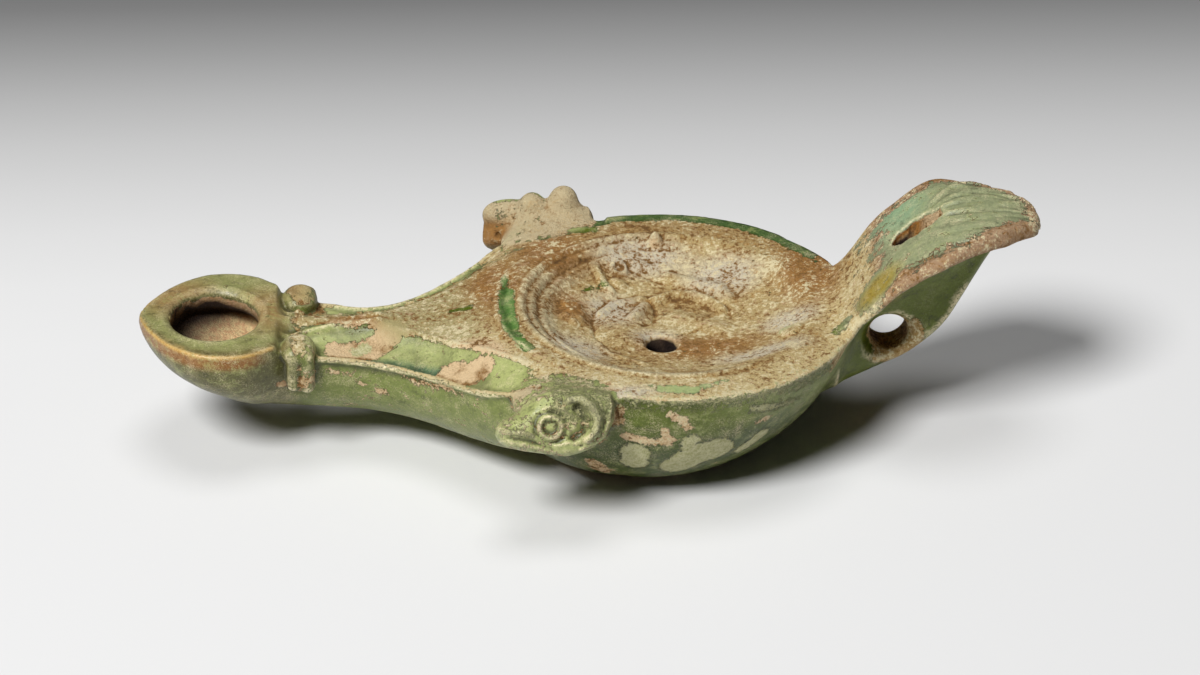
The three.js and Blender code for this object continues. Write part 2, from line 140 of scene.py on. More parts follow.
def lumps(shape, cell, seed):
    """Smooth random numbers from -1 to 1 on a grid, one new value for each cell of steps."""
    rng = np.random.default_rng(seed)
    values = rng.uniform(-1, 1, [int(n / cell) + 3 for n in shape]).astype(np.float32)
    for axis, n in enumerate(shape):
        place = np.arange(n) / cell
        low = place.astype(int)
        t = (place - low).astype(np.float32)
        t = (t * t * (3 - 2 * t)).reshape([-1 if a == axis else 1 for a in range(len(shape))])
        values = np.take(values, low, axis) * (1 - t) + np.take(values, low + 1, axis) * t
    return values


def stroke(x, y, points, width, height):
    """Height of a soft raised stroke through (x, y) points."""
    best = np.full(np.broadcast(x, y).shape, 1e9)
    for (ax, ay), (bx, by) in zip(points, points[1:]):
        dx, dy = bx - ax, by - ay
        t = np.clip(((x - ax) * dx + (y - ay) * dy) / (dx * dx + dy * dy), 0.0, 1.0)
        best = np.minimum(best, np.hypot(x - ax - t * dx, y - ay - t * dy))
    return height * bump(best, width)


def strokes(x, y, table):
    """The same for a table of rows, each with its points, width and height."""
    return [stroke(x, y, *row) for row in table]


# ---- outlines along the lamp, as functions of x, and the bowl's radius as a function of z

plate_half = curve(
    (NOZZLE_TIP_X, 0.2), (-116.6, 3.2), (-115, 6.8), (-112.5, 10.9), (-109, 14.8), (-104, 18.2),
    (-98.7, 19.3), (-93, 18.4), (-88.5, 15.6), (-84, 12.2), (-80, 9))

keel = curve(
    (NOZZLE_TIP_X, -5.4), (-116.5, -7.6), (-114.5, -10.6), (-111.6, -13.2), (-107, -16.2), (-101.4, -19.1),
    (-91.3, -22.9), (-80, -24.8), (-70, -25.7), (-58.6, -27), (-49.6, -28.4), (-35, -30.4), (-20, -31.4))

platform_half = curve(
    (NECK_START_X, 0.9), (-74, 1), (-69, 1.2), (-63, 3), (-52.7, 8.8), (-41.2, 17.7), (-31.2, 26),
    (-18.4, 34), (NECK_END_X, 36))

platform_z = curve(
    (NECK_START_X, -4), (-78, -4.6), (-71, -4.7), (-63, -4.2), (-52.7, -3.9), (-46, -2.9), (-41.2, -1.9),
    (-36, -1), (-28, -0.4), (NECK_END_X, 0.1))

ridge_half = curve(
    (NECK_START_X, 13), (-77, 12.5), (-68, 12.3), (-59.5, 15.1), (-51, 20.9), (-42, 29.3), (-36, 34.6),
    (-30, 37.6), (-22, 39.2), (NECK_END_X, 39.6))

ridge_z = curve(
    (NECK_START_X, -6.4), (-77, -6.9), (-68, -7.9), (-59.5, -8.1), (-51, -7.4), (-42, -5.7), (-36, -3),
    (-30, -1.2), (-22, -0.2), (NECK_END_X, 0.1))

bowl_r = curve(
    (-BODY_HEIGHT + FOOT_HEIGHT, 24.2), (-26.8, 30.6), (-22, 35.2), (-16.3, 38.8), (-10.1, 41.1),
    (-4.5, 42.3), (-0.6, RIM_R))

leaf_mid = curve(
    (29, -3.2), (34.5, -0.9), (39.5, 3.2), (45.6, 10.9), (50, 16), (58.7, 22.8), (65, 25.1), (72, 25.5),
    (78, 24.7), (80.8, 23.8), (82.6, 22.2))

leaf_half = curve(
    (29, 13), (34.5, 14.6), (39.3, 15.3), (42, 15.4), (45.9, 17.2), (52, 18), (59.4, 19.3), (63.8, 17.7),
    (68, 15.4), (73, 12.4), (76, 10.3), (79.8, 7.6), (81.5, 6), (82.6, 4.4))

leaf_droop = curve(
    (29, 0.2), (45.9, 0.6), (59.4, 1.4), (68, 2.3), (76, 1.8), (82.6, 0.8))

web_keel = curve(
    (30, -21.8), (35, -20.2), (41.7, -17.9), (48.3, -15), (52.7, -12.9), (57, -9.8), (62.2, -4.2),
    (66.2, 3.5), (70.1, 11.1), (73.1, 16.2), (76, 18.4))


def plate_z(x):
    return PLATE_Z - 3 * rise(x, -86, -79)


# ---- heights of the upper surfaces, as functions of x and y

FIGURE = [
    ([(-9, -5), (-9.4, 0), (-8, 4)], 6.2, 1.5),
    ([(-14.4, 5), (-11, 10), (-5, 12.8)], 2.0, 1.3),
    ([(-7.4, 3.6), (-4.2, 9)], 2.5, 2.9),
    ([(-1.5, 12.4), (2.4, 14.6), (7.1, 14.2), (11, 11.4), (13, 8)], 2.1, 1.9),
    ([(3, 5.5), (8, 3.6), (12, -0.5)], 4.4, 1.3),
    ([(-14.6, 21), (-13.4, 17.6), (-11.6, 14.6)], 1.7, 1.9),
    ([(-10.2, 17.8), (-9.4, 17.4)], 2.2, 2.1),
    ([(2, 20.4), (7, 18.4), (12.6, 15.8), (14.4, 12.5)], 2.6, 1.7),
    ([(10.7, -15.6), (14.6, -11), (17.8, -4.5), (19, -3)], 2.6, 0.6),
    ([(-15, -8), (-12, -14), (-6, -18)], 1.7, 0.8),
    ([(-6.4, 25), (-2, 23.6), (2, 24)], 1.6, 0.8),
]
FIGURE_LINES = [
    ([(-12.4, -12.7), (-15.8, -5), (-16.4, 1.8), (-15.4, 7.2), (-12, 12), (-5, 15)], 0.8, 0.75),
    ([(-2.6, 12), (-1.6, 8), (-2.4, 4), (-5, 1.6)], 0.9, 0.8),
    ([(-7.4, 23), (-3, 20.6), (1, 18.4)], 0.6, 0.5),
    ([(12, 12), (14.6, 8.6), (15, 4)], 0.8, 0.6),
    ([(1, -3.6), (6, -1), (8, 0.4)], 0.9, 0.5),
]
FIGURE_KNOBS = [(-22.4, 6.4), (-19.4, 7), (-18.4, 4.4), (-21.2, 3.6), (-22.6, 1.6), (-19, 1.2), (-20.6, -0.8)]


def discus_relief(x, y):
    """Worn figure: a rounded body with limbs, a knobbly clump and a small ring, with grooves round them."""
    knobs = sum(0.9 * bump(np.hypot(x - a, y - b), 1.5) for a, b in FIGURE_KNOBS)
    clump = stroke(x, y, [(-20.6, 6.4), (-20.4, 1.4)], 3.4, 1.5) + knobs
    ring = bump(np.abs(np.hypot(x + 9.4, y - 22.6) - 1.6), 0.8) * 1.2
    spiral = bump(np.abs(np.hypot(x + 10, y + 20) - 2.0), 0.8) * 0.7
    boss = bump(np.hypot(x + 0.8, y - 30.4), 2.1) * 2.6
    sides = np.arctan2(y + 9.4, x - 27)
    pebble = 1.1 * rise(-np.hypot(x - 27, y + 9.4) + 0.25 * np.sin(3 * sides), -2.9, -2.0)
    worn = 0.68 * highest(*strokes(x, y, FIGURE), clump, ring, spiral)
    return highest(worn, boss, pebble) - 0.75 * highest(*strokes(x, y, FIGURE_LINES))


def bowl_top(x, y):
    """Shoulder, stepped mouldings and hollow discus, with the pouring groove next to the neck."""
    r = np.hypot(x, y)
    step = rise(r, DISCUS_R, 33.6)
    floor = -3.3 - (DISCUS_DEPTH - 3.3) * (1 - np.clip(r / DISCUS_R, 0, 1) ** 3)
    inner = floor + 3.1 * step
    wave = np.abs(np.sin(math.pi * (r - 26.2) / 2.45)) ** 0.6 * (1 - 0.8 * rise(x + 0.3 * y, 2, 22))
    inner = inner + 0.75 * wave * rise(r, 25.4, 26.4) * fall(r, 33.2, 34.2)
    height = np.where(r < 33.6, inner, -0.15 * fall(r, 33.6, 36))
    turn = np.degrees(np.arctan2(y, -x))
    near_neck = rise(turn, -30, -20) * fall(turn, 18, 27)
    height = height - 0.65 * near_neck * bump(r - GROOVE_R, 1.9)
    return height + discus_relief(x, y)


def neck_top(x, y):
    """A raised middle that widens into the shoulder, and a hollow sloping band each side."""
    u = np.abs(y)
    middle, side = platform_half(x), ridge_half(x)
    middle_z, side_z = platform_z(x), ridge_z(x)
    fade = np.clip((-28 - x) / 12, 0.0, 1.0)
    s = np.clip((u - middle) / (side - middle), 0.0, 1.0)
    crown = 0.5 * fade * (1 - np.clip(u / middle, 0, 1) ** 2)
    band = middle_z + (side_z - 0.8 - middle_z) * s - 1.35 * fade * np.sin(math.pi * s ** 0.85)
    lip = 0.35 * fade * bump(u - middle, 1.3) * rise(x, -64, -56)
    inner_scroll = stroke(x, u, [(-85, 5.4), (-80, 3.4), (-74, 1.7), (-64, 1.3)], 1.2, 0.9)
    outer_scroll = stroke(x, u, [(-84.4, 5.2), (-81.4, 6.8), (-79, 9.6), (-78, 13.4)], 1.3, 1.2)
    return band + crown + lip + np.maximum(inner_scroll, outer_scroll)


def body_top(x, y):
    """Upper surface of the nozzle, the neck and the bowl in one."""
    r = np.hypot(x, y)
    hole_x, rx, ry = WICK_HOLE
    lip = 0.4 * bump(np.hypot((x - hole_x) / rx, y / ry) - 1.13, 0.16)
    top = neck_top(x, y)
    top = top + (plate_z(x) + lip - top) * fall(x, -87.5, -84)
    on_bowl = np.where(x > NECK_END_X, 1.0, fall(r, 37.6, 39.2))
    return top + (bowl_top(x, y) - top) * on_bowl


LEAF_FOLDS = [
    [(60, 1.8), (67, 4.2), (74, 5.2), (79, 5)],
    [(60, 3.4), (66, 7.6), (72, 9), (76.5, 8)],
    [(59, 6), (63, 10.4), (68, 12.4), (72.5, 11.6)],
]


def leaf_surface(x, y):
    """Upper face of the leaf: a middle rib, a fan of grooves to the tip and a raised bead along the edge."""
    half = leaf_half(x)
    v = y / half + 0.03 * np.sin(0.33 * x + 4 * y / half)
    v = v + 0.012 * (x - 60) * (y < 0)
    grown = 0.45 * rise(x, 46, 52) * (y < 0) + 0.55 * rise(x, 59, 65)
    fan = np.abs(np.sin(4.4 * math.pi * np.abs(v - 0.1) ** 0.85)) ** 0.55
    fine = np.abs(np.sin(11 * math.pi * v)) ** 0.8
    rib = stroke(x, y, [(60, -1.8), (66.5, -1), (72, 0.6), (76.5, 1.6), (81, 3)], 1.2, 0.9)
    folds = [stroke(x, y, line, 1.3, 0.7) for line in LEAF_FOLDS]
    clefts = highest(stroke(x, y, [(68, 6.4), (76, 4.4), (82, 3.4)], 0.9, 0.9),
                     stroke(x, y, [(64, 12.4), (72, 11), (79, 9.2)], 0.9, 0.9))
    grooves = (0.85 * (1 - fan) + 0.4 * (1 - fine)) * grown * (1 - 0.4 * np.abs(v))
    bead = 0.5 * bump(half - np.abs(y) - 1.6, 1.5) * rise(x, 45, 48) * (1 - 0.6 * (y > 0))
    plain = leaf_mid(x) - 0.55 - leaf_droop(x) * v * v
    return plain - grooves - clefts + highest(rib, *folds, bead)


def leaf_low(x, y):
    """The leaf's middle surface without its relief, drooping to the edges."""
    return leaf_mid(x) - leaf_droop(x) * (y / leaf_half(x)) ** 2


# ---- solid forms, as fields of signed distance

TINY = 1e-6


def under_curve(u, z, half, top, bottom, power):
    """Field of a rounded trough: straight walls above the top height, a superellipse below."""
    down = np.maximum(top - z, 0)
    depth = top - bottom
    q = ((u / half) ** power + (down / depth) ** power) ** (1 / power)
    steep = np.sqrt((u / half ** 2) ** 2 + (down / depth ** 2) ** 2) + TINY
    return (q - 1) * np.maximum(q, 0.3) / steep


def ellipsoid(p, centre, radii):
    q = [(a - c) / r for a, c, r in zip(p, centre, radii)]
    k = np.sqrt(q[0] ** 2 + q[1] ** 2 + q[2] ** 2)
    slope = np.sqrt(sum((a / r) ** 2 for a, r in zip(q, radii))) + TINY
    return k * (k - 1) / slope


def rod(p, a, b, ra, rb):
    """Field of a straight rod between two points, with its radius going from ra to rb."""
    axis = [n - m for m, n in zip(a, b)]
    length = sum(c * c for c in axis)
    t = np.clip(sum((q - m) * c for q, m, c in zip(p, a, axis)) / length, 0.0, 1.0)
    away = np.sqrt(sum((q - m - t * c) ** 2 for q, m, c in zip(p, a, axis)))
    return away - (ra + (rb - ra) * t)


def between(x, start, end):
    """Field of the slab from start to end."""
    return np.abs(x - (start + end) / 2) - (end - start) / 2


def bowl_field(x, y, z):
    """The bowl, leaning so that its foot is under FOOT_X, and its disc foot."""
    lean = -FOOT_X / BODY_HEIGHT * z
    slope = np.gradient(bowl_r(z), axis=2) / GRID_STEP
    side = (np.hypot(x - lean, y) - bowl_r(z)) / np.sqrt(1 + slope ** 2)
    side = both(side, -BODY_HEIGHT + FOOT_HEIGHT - z, 1.2)
    foot = both(np.hypot(x - lean, y) - FOOT_R - 0.3, z + 20, 0.4)
    return either(side, foot, 0.5)


def neck_field(x, y, z):
    """The keeled neck, fuller where it meets the bowl, and the thin ridges along its sides."""
    u = np.abs(y)
    full = 1 + 0.7 * rise(x, -36, -22)
    half = ridge_half(x) - 0.5
    field = under_curve(u, z, half, ridge_z(x) - 3, keel(x), 2 / full)
    field = both(field, between(x, NECK_START_X, NECK_END_X), 0.5)
    thick = 0.65 * rise(x, -81, -77) * fall(x, -40, -33) + 0.05
    ridge = np.hypot(u - ridge_half(x) + 0.35, z - ridge_z(x) + 0.8) - thick
    return field, ridge


def nozzle_field(x, y, z):
    """The nozzle up to its pointed tip, under a flat plate."""
    half = plate_half(x)
    field = under_curve(np.abs(y), z, half, plate_z(x) - 2, keel(x), 2.1)
    return np.maximum(field, NOZZLE_TIP_X - x)


def volute_field(x, y, z, side):
    """A rounded knob over a stub of two ridges down the nozzle's side."""
    p = x, side * y, z
    vx, vy, r = VOLUTE
    knob = ellipsoid(p, (vx, vy - 0.4, VOLUTE_TOP - 2.2), (r - 0.2, r + 0.6, 2.9))
    hollow = ellipsoid(p, (vx + 0.4, vy - 0.6, VOLUTE_TOP + 1.2), (2.2, 2.6, 1.2))
    knob = both(knob, -hollow, 0.5)
    low = VOLUTE_TOP - VOLUTE_DROP
    ridges = [rod(p, (vx + a, vy + 2.6, VOLUTE_TOP - 2.6), (vx + a, vy + 1.7 + b, low + 1.6), ra, rb)
              for a, b, ra, rb in ((-0.9, 0.3, 1.7, 1.5), (2.0, 0.1, 1.8, 1.9))]
    stub = rod(p, (vx + 0.5, vy + 0.6, VOLUTE_TOP - 3), (vx + 0.5, vy - 0.2, low + 2), 3.2, 3.0)
    field = either(either(ridges[0], ridges[1], 0.35), stub, 0.4)
    return either(field, knob, 0.8)


def outline_distance(s, t, points):
    """Signed distance to a closed outline, negative inside."""
    best = np.full(np.broadcast(s, t).shape, 1e9)
    inside = np.zeros(best.shape, dtype=bool)
    for (ax, ay), (bx, by) in zip(points, points[1:] + points[:1]):
        dx, dy = bx - ax, by - ay
        k = np.clip(((s - ax) * dx + (t - ay) * dy) / (dx * dx + dy * dy), 0.0, 1.0)
        best = np.minimum(best, np.hypot(s - ax - k * dx, t - ay - k * dy))
        inside ^= ((ay > t) != (by > t)) & (s < ax + (t - ay) * dx / (dy if dy else 1e-9))
    return np.where(inside, -best, best)


# upper lip, lower lip, brow, ear and the edge at the back, in the plane of the face
HEAD_RAISED = [
    ([(0.6, 1.4), (2.7, 0.9), (5.4, 0.5), (8.4, -0.3), (10.3, -1.7), (13, -2.3), (16.3, -1.6)], 0.9, 0.8),
    ([(1.6, -1.9), (5, -2.4), (9, -3), (13, -3.6), (17, -3.1)], 1.6, 0.6),
    ([(10.2, 5.2), (12.2, 6.2), (14.2, 5.6)], 1.1, 0.7),
    ([(15.8, 7.6), (18, 8), (20.4, 6.4), (21.8, 3.6), (21.4, 0.9), (19.6, -0.9)], 1.7, 2.9),
    ([(24.3, 8.4), (24.9, 6.2), (24.4, 3), (23.2, -0.2), (20.8, -2.2), (18, -3.2)], 0.8, 1.2),
]
# mouth and the inside of the ear
HEAD_SUNK = [
    ([(0.4, -0.3), (3, -0.5), (6, -1.0), (9, -1.9), (12, -3.0)], 0.7, 0.6),
    ([(17.4, 5.6), (18.6, 3.4), (18.2, 0.8), (16.6, -0.4)], 1.6, 1.6),
]
HEAD_OUTLINE = [
    (0, 0), (0.2, 1.6), (1.2, 2.7), (3, 3.6), (5.4, 4.4), (7, 5.8), (8.6, 7.8), (11, 9.2), (14, 9.8),
    (18, 9.9), (22, 9.6), (24.6, 8.8), (25.5, 6.4), (25, 3), (23.6, -0.5), (21, -2.6), (18.4, -3.8),
    (15.2, -4.6), (10.5, -3.9), (6, -3.4), (2.8, -2.8), (0.9, -1.5)]
FACE_LEAN = math.radians(29.5)
FACE_TIP = (-14.0, 2.9, -1.8)
# centre, radii and fillet of the lumps on the far head
WORN_LUMPS = [
    ((-7.8, 1.4, 1.9), (6.2, 3.3, 3.5), 2.4),
    ((-2.6, -0.8, 4.9), (3.0, 3.4, 3.4), 2.0),
    ((4.6, -0.9, 6.0), (3.4, 3.5, 4.1), 2.2),
    ((6.8, -2.4, 0.8), (4.0, 4.4, 4.4), 2.0),
]


def head_relief(s, t):
    """Low relief on the head's outer face: lips, ringed eye, brow, curled ear and the edge at its back."""
    eye = np.hypot(s - 11.6, t - 1.7)
    raised = highest(
        *strokes(s, t, HEAD_RAISED),
        0.4 * bump(eye, 1.9),
        1.3 * bump(np.abs(eye - 2.3) / (1 + 0.25 * rise(s - t, 9, 13)), 0.85),
        1.0 * bump(np.hypot(s - 12.2, t + 3.6), 1.2),
        0.9 * bump(np.hypot(s - 16.9, t + 1.9), 1.3),
        1.5 * bump(np.hypot(s - 15.8, t - 7.2), 1.9))
    return raised - highest(*strokes(s, t, HEAD_SUNK), 0.5 * bump(np.abs(eye - 3.5), 0.8))


def head_field(x, y, z, side):
    """Animal head facing the nozzle, with its relief on an outer face that leans back towards the shoulder.
    The far one, side 1, is worn and has lumps on its top."""
    p = x - HEAD[0] + side * HEAD_SHIFT, side * y - HEAD[1], z - HEAD[2]
    s, out, up = (a - b for a, b in zip(p, FACE_TIP))
    t = up * math.cos(FACE_LEAN) - out * math.sin(FACE_LEAN)
    d = out * math.cos(FACE_LEAN) + up * math.sin(FACE_LEAN)
    outline = outline_distance(s, t, HEAD_OUTLINE)
    muzzle = 2.2 * fall(s, 5, 12) * (1 - np.exp(np.minimum(outline, 0) / 2.4))
    dome = 1.9 * (1 - np.exp(np.minimum(outline, 0) / 1.8)) - 1.2 + muzzle
    relief = head_relief(s, t) * (0.6 if side > 0 else 0.85)
    field = both((d - dome - relief) / 1.25, outline, 1.3)
    field = both(field, -d - 6.2 - 0.5 * np.maximum(s - 4, 0), 2.2)
    for centre, radii, fillet in WORN_LUMPS if side > 0 else []:
        field = either(field, ellipsoid(p, centre, radii), fillet)
    field = either(field, ellipsoid(p, (1, -8, -1.0), (11, 9, 4.6)), 3.0)
    nostril = ellipsoid(p, (-10.6, -3.4, -1.4), (0.8, 1.6, 0.8))
    return both(field, -nostril, 0.4)


def leaf_field(x, y, z):
    """The leaf: a thin curved plate with its relief on top, a plain underside and notches at the tip."""
    climb = np.maximum(leaf_mid(x + 0.5) - leaf_mid(x - 0.5), 0)
    steep = np.hypot(1, climb)
    thick = np.minimum(LEAF_THICKNESS * steep, 4.2)
    low = leaf_low(x, y) - thick
    field = both((z - leaf_surface(x, y)) / steep, (low - z) / steep, 1.0)
    field = both(field, (np.abs(y) - leaf_half(x)) * 0.85, 1.5)
    notches = 2.4 * bump(y - 3.4, 1.2) + 2.2 * bump(y - 9.2, 1.4) + 0.5 * bump(y + 4, 1.6)
    tip = LEAF_END_X - 0.1 - 0.03 * y * y - notches
    field = both(field, x - tip, 1.4)
    return np.maximum(field, 29 - x)


def web_field(x, y, z):
    """The web under the leaf, wider at the bowl and where it meets the leaf."""
    root = 7 * np.exp(-np.maximum(x - 38, 0) / 5)
    half = (WEB_HALF + root) * np.minimum(1, 0.5 + (76 - x) / 20)
    low = web_keel(x)
    tall = leaf_mid(x) - LEAF_THICKNESS * 0.7 - low
    bend = np.minimum(half, tall * 0.5)
    share = np.clip((z - low - bend) / (tall - bend), 0, 1)
    wide = half + np.maximum(0, leaf_half(x) - half - 3) * share ** 3
    q = np.hypot(np.abs(y) / wide, np.maximum(low + bend - z, 0) / bend)
    field = (q - 1) * np.minimum(wide, bend * 1.5)
    field = np.maximum(field, z - leaf_mid(x) + 2)
    return np.maximum(field, np.abs(x - 53) - 23)


# ---- hollows

chamber_roof = curve(
    (0, -WALL - DISCUS_DEPTH), (16, -WALL - 6.2), (DISCUS_R, -WALL - 3.4), (33, -WALL - 0.4),
    (38, -WALL - 1))

channel_half = curve(
    (-110.5, 3), (-107, 9.4), (-101, 13.2), (-95, 13.6), (-88, 11.4), (-80, 8.8), (-70, 7.8), (-60, 10),
    (-50, 15), (-40, 21), (-30, 24))

channel_roof = curve(
    (-110.5, -8.2), (-107, -6.6), (-95, -6.4), (-87, -8), (-70, -10), (-50, -9.8), (-30, -7))

channel_floor = curve(
    (-110.5, -9.6), (-107, -10.8), (-101, -13), (-91, -16.8), (-80, -19.6), (-60, -22.6), (-45, -24.6),
    (-30, -26))


def chamber_field(x, y, z):
    """The oil chamber, a wall's thickness inside the bowl and under the discus."""
    lean = -FOOT_X / BODY_HEIGHT * z
    side = np.hypot(x - lean, y) - bowl_r(z) + WALL
    floor = -BODY_HEIGHT + WALL - z
    return both(both(side, floor, 4.0), z - chamber_roof(np.hypot(x, y)), 1.5)


def channel_field(x, y, z):
    """The channel from the wick chamber down the neck to the oil chamber."""
    half, roof, floor = channel_half(x), channel_roof(x), channel_floor(x)
    middle, tall = (roof + floor) / 2, (roof - floor) / 2
    q = np.hypot(y / half, (z - middle) / tall)
    return np.maximum((q - 1) * np.minimum(half, tall), between(x, -110.5, -30))


def hole_fields(x, y, z):
    """Wick hole, filling hole, finger bore and the broken slot in the leaf, each with its worn edge."""
    hole_x, rx, ry = WICK_HOLE
    q = np.hypot((x - hole_x) / rx, y / ry)
    lip = np.clip((z - PLATE_Z + 1.3) / 1.3, 0, 1.2) ** 2 * 0.1
    wick = np.maximum((q - 1 - lip) * rx, -11 - z)
    fx, fy, fr = FILLING_HOLE
    filling = np.maximum(np.hypot(x - fx, y - fy) - fr - 0.7 * rise(z, -8.2, -6.6), -16 - z)
    bx, bz, br = BORE
    u = np.abs(y)
    bore = np.hypot(x - bx, z - bz) - br - 1.2 * rise(u, 3.4, 5.5) - 0.45 * np.maximum(u - 5.5, 0)
    start, end, half, depth = SLOT
    t = np.clip((x - start) / (end - start), 0, 1)
    wide = half * (0.6 + 2.4 * t * (1 - t)) + 0.25 * np.sin(2.1 * x) + 0.15 * np.sin(5.3 * x + z)
    low = leaf_mid(x) - depth * (0.55 + 1.6 * t * (1 - t))
    slot = both(both(np.abs(y) - wide, low - z, 1.0), between(x, start, end), 1.2)
    return wick, filling, bore, slot


# ---- the field on the grid


def grid_axes():
    return [np.arange(low, high, GRID_STEP, dtype=np.float32) for low, high in zip(GRID_LOW, GRID_HIGH)]


def block(axes, low, high):
    """Slices of the grid between two corners, and the open coordinates there."""
    cut = tuple(slice(*np.searchsorted(a, [lo, hi])) for a, lo, hi in zip(axes, low, high))
    x, y, z = (a[c] for a, c in zip(axes, cut))
    return cut, x[:, None, None], y[None, :, None], z[None, None, :]


def join(field, axes, low, high, make, fillet):
    cut, *places = block(axes, low, high)
    field[cut] = either(field[cut], make(*places), fillet)


def carve(field, axes, low, high, make, edge):
    cut, *places = block(axes, low, high)
    field[cut] = both(field[cut], -make(*places), edge)


def lamp_field(axes):
    """Signed distance to the lamp's skin, negative in the clay."""
    shape = [len(a) for a in axes]
    field = np.full(shape, 20.0, dtype=np.float32)
    cut, x, y, z = block(axes, (-53, -53, -34), (50, 53, 5))
    field[cut] = bowl_field(x, y, z)
    cut, x, y, z = block(axes, (-90, -45, -34), (-8, 45, 5))
    neck, ridge = neck_field(x, y, z)
    field[cut] = either(field[cut], neck, 2.5)
    join(field, axes, (-119, -24, -28), (-78, 24, 2), nozzle_field, 1.2)
    x, y, z = np.ix_(*axes)
    top = body_top(x, y)
    slope_x, slope_y = np.gradient(top[:, :, 0], GRID_STEP)
    steep = np.clip(np.sqrt(1 + slope_x ** 2 + slope_y ** 2), 1, 2.5)[:, :, None]
    field = both(field, (z - top) / steep, 0.55).astype(np.float32)
    field[cut] = either(field[cut], ridge, 0.8)
    for side in (-1, 1):
        low, high = sorted((side * 2.0, side * 22.0))
        join(field, axes, (-92, low, -20), (-72, high, 1), partial(volute_field, side=side), 0.7)
        low, high = sorted((side * 26.0, side * 53.5))
        join(field, axes, (-48, low, -20), (-10, high, 12), partial(head_field, side=side), 1.6)
    join(field, axes, (28, -14, -26), (78, 14, 26), web_field, 3.0)
    join(field, axes, (28, -24, -10), (84.5, 24, 27), leaf_field, 2.2)
    carve(field, axes, (-46, -42, -30), (42, 42, -3), chamber_field, 1.0)
    carve(field, axes, (-112, -26, -28), (-28, 26, -5), channel_field, 1.0)
    cut, x, y, z = block(axes, (-119, -53, -34), (84, 53, 27))
    for hole, edge in zip(hole_fields(x, y, z), (0.7, 0.6, 0.9, 0.4)):
        field[cut] = both(field[cut], -hole, edge)
    for height, size, seed in UNEVENNESS:
        field = field + height * lumps(shape, size / GRID_STEP, seed)
    world_z = z * TILT_COS - (x - FOOT_X) * TILT_SIN + BODY_HEIGHT
    field[cut] = np.maximum(field[cut], 0.05 - world_z)
    field[cut] = both(field[cut], world_z - HIGHEST, 0.5)
    return field.astype(np.float32)


# ---- from the field to a mesh


def value_and_slope(corners, place):
    """Trilinear value and gradient inside cells."""
    u, v, w = place.T
    c = corners.reshape(-1, 2, 2, 2)
    along_u = c[:, 1] - c[:, 0]
    at_u = c[:, 0] + along_u * u[:, None, None]
    along_v = at_u[:, 1] - at_u[:, 0]
    at_v = at_u[:, 0] + along_v * v[:, None]
    along_w = at_v[:, 1] - at_v[:, 0]
    du = along_u[:, 0] + (along_u[:, 1] - along_u[:, 0]) * v[:, None]
    slope_u = du[:, 0] + (du[:, 1] - du[:, 0]) * w
    slope_v = along_v[:, 0] + (along_v[:, 1] - along_v[:, 0]) * w
    return at_v[:, 0] + along_w * w, np.stack([slope_u, slope_v, along_w], 1)


def places_in_cells(corners):
    """A point on the surface in each cell: the mean of the edge crossings, moved along the slope."""
    spots = np.array(CORNERS, dtype=np.float32)
    total = np.zeros((len(corners), 3), dtype=np.float32)
    hits = np.zeros(len(corners), dtype=np.float32)
    for m, n in combinations(range(8), 2):
        if np.abs(spots[m] - spots[n]).sum() == 1:
            crossed = (corners[:, m] < 0) != (corners[:, n] < 0)
            t = np.where(crossed, corners[:, m] / (corners[:, m] - corners[:, n] + 1e-12), 0)
            total += crossed[:, None] * (spots[m] + t[:, None] * (spots[n] - spots[m]))
            hits += crossed
    place = total / hits[:, None]
    for _ in range(3):
        value, slope = value_and_slope(corners, place)
        place = place - (value / ((slope ** 2).sum(1) + TINY))[:, None] * slope * 0.7
        place = np.clip(place, 0.02, 0.98)
    return place


def crossing_quads(inside, number, axis):
    """A quad round each grid edge along the axis that crosses the surface, facing out."""
    others = [a for a in range(3) if a != axis]
    near, far = [slice(1, -1)] * 3, [slice(1, -1)] * 3
    near[axis], far[axis] = slice(0, -1), slice(1, None)
    first, second = inside[tuple(near)], inside[tuple(far)]
    place = np.nonzero(first != second)
    ring = []
    for step in ((0, 0), (1, 0), (1, 1), (0, 1)):
        cell = list(place)
        for a, b in zip(others, step):
            cell[a] = cell[a] + b
        ring.append(number[tuple(cell)])
    ring = np.stack(ring, 1)
    flip = first[place] if axis != 1 else ~first[place]
    ring[~flip] = ring[~flip][:, ::-1]
    return ring


CORNERS = list(product((0, 1), repeat=3))


def surface_net(field):
    """Vertices, in grid steps, and quads of the field's zero surface."""
    inside = field < 0
    cut = [tuple(slice(c, n - 1 + c) for c, n in zip(corner, field.shape)) for corner in CORNERS]
    count = sum(inside[c].astype(np.int8) for c in cut)
    cells = np.nonzero((count > 0) & (count < 8))
    place = places_in_cells(np.stack([field[c][cells] for c in cut], 1))
    number = np.full(count.shape, -1, dtype=np.int32)
    number[cells] = np.arange(len(place))
    quads = [crossing_quads(inside, number, axis) for axis in range(3)]
    return np.stack(cells, 1) + place, np.concatenate(quads)


def set_down(points):
    """Points in millimetres in the maker's frame as metres in the part's frame."""
    x, y, z = points[:, 0] - FOOT_X, points[:, 1], points[:, 2]
    forward = x * TILT_COS + z * TILT_SIN + BODY_HEIGHT * TILT_SIN
    return np.stack([forward, y, -x * TILT_SIN + z * TILT_COS + BODY_HEIGHT], 1) / 1000


def lift_up(points):
    """The reverse of set_down."""
    x = points[:, 0] * 1000 - BODY_HEIGHT * TILT_SIN
    z = points[:, 2] * 1000 - BODY_HEIGHT
    forward = x * TILT_COS - z * TILT_SIN + FOOT_X
    return np.stack([forward, points[:, 1] * 1000, x * TILT_SIN + z * TILT_COS], 1)


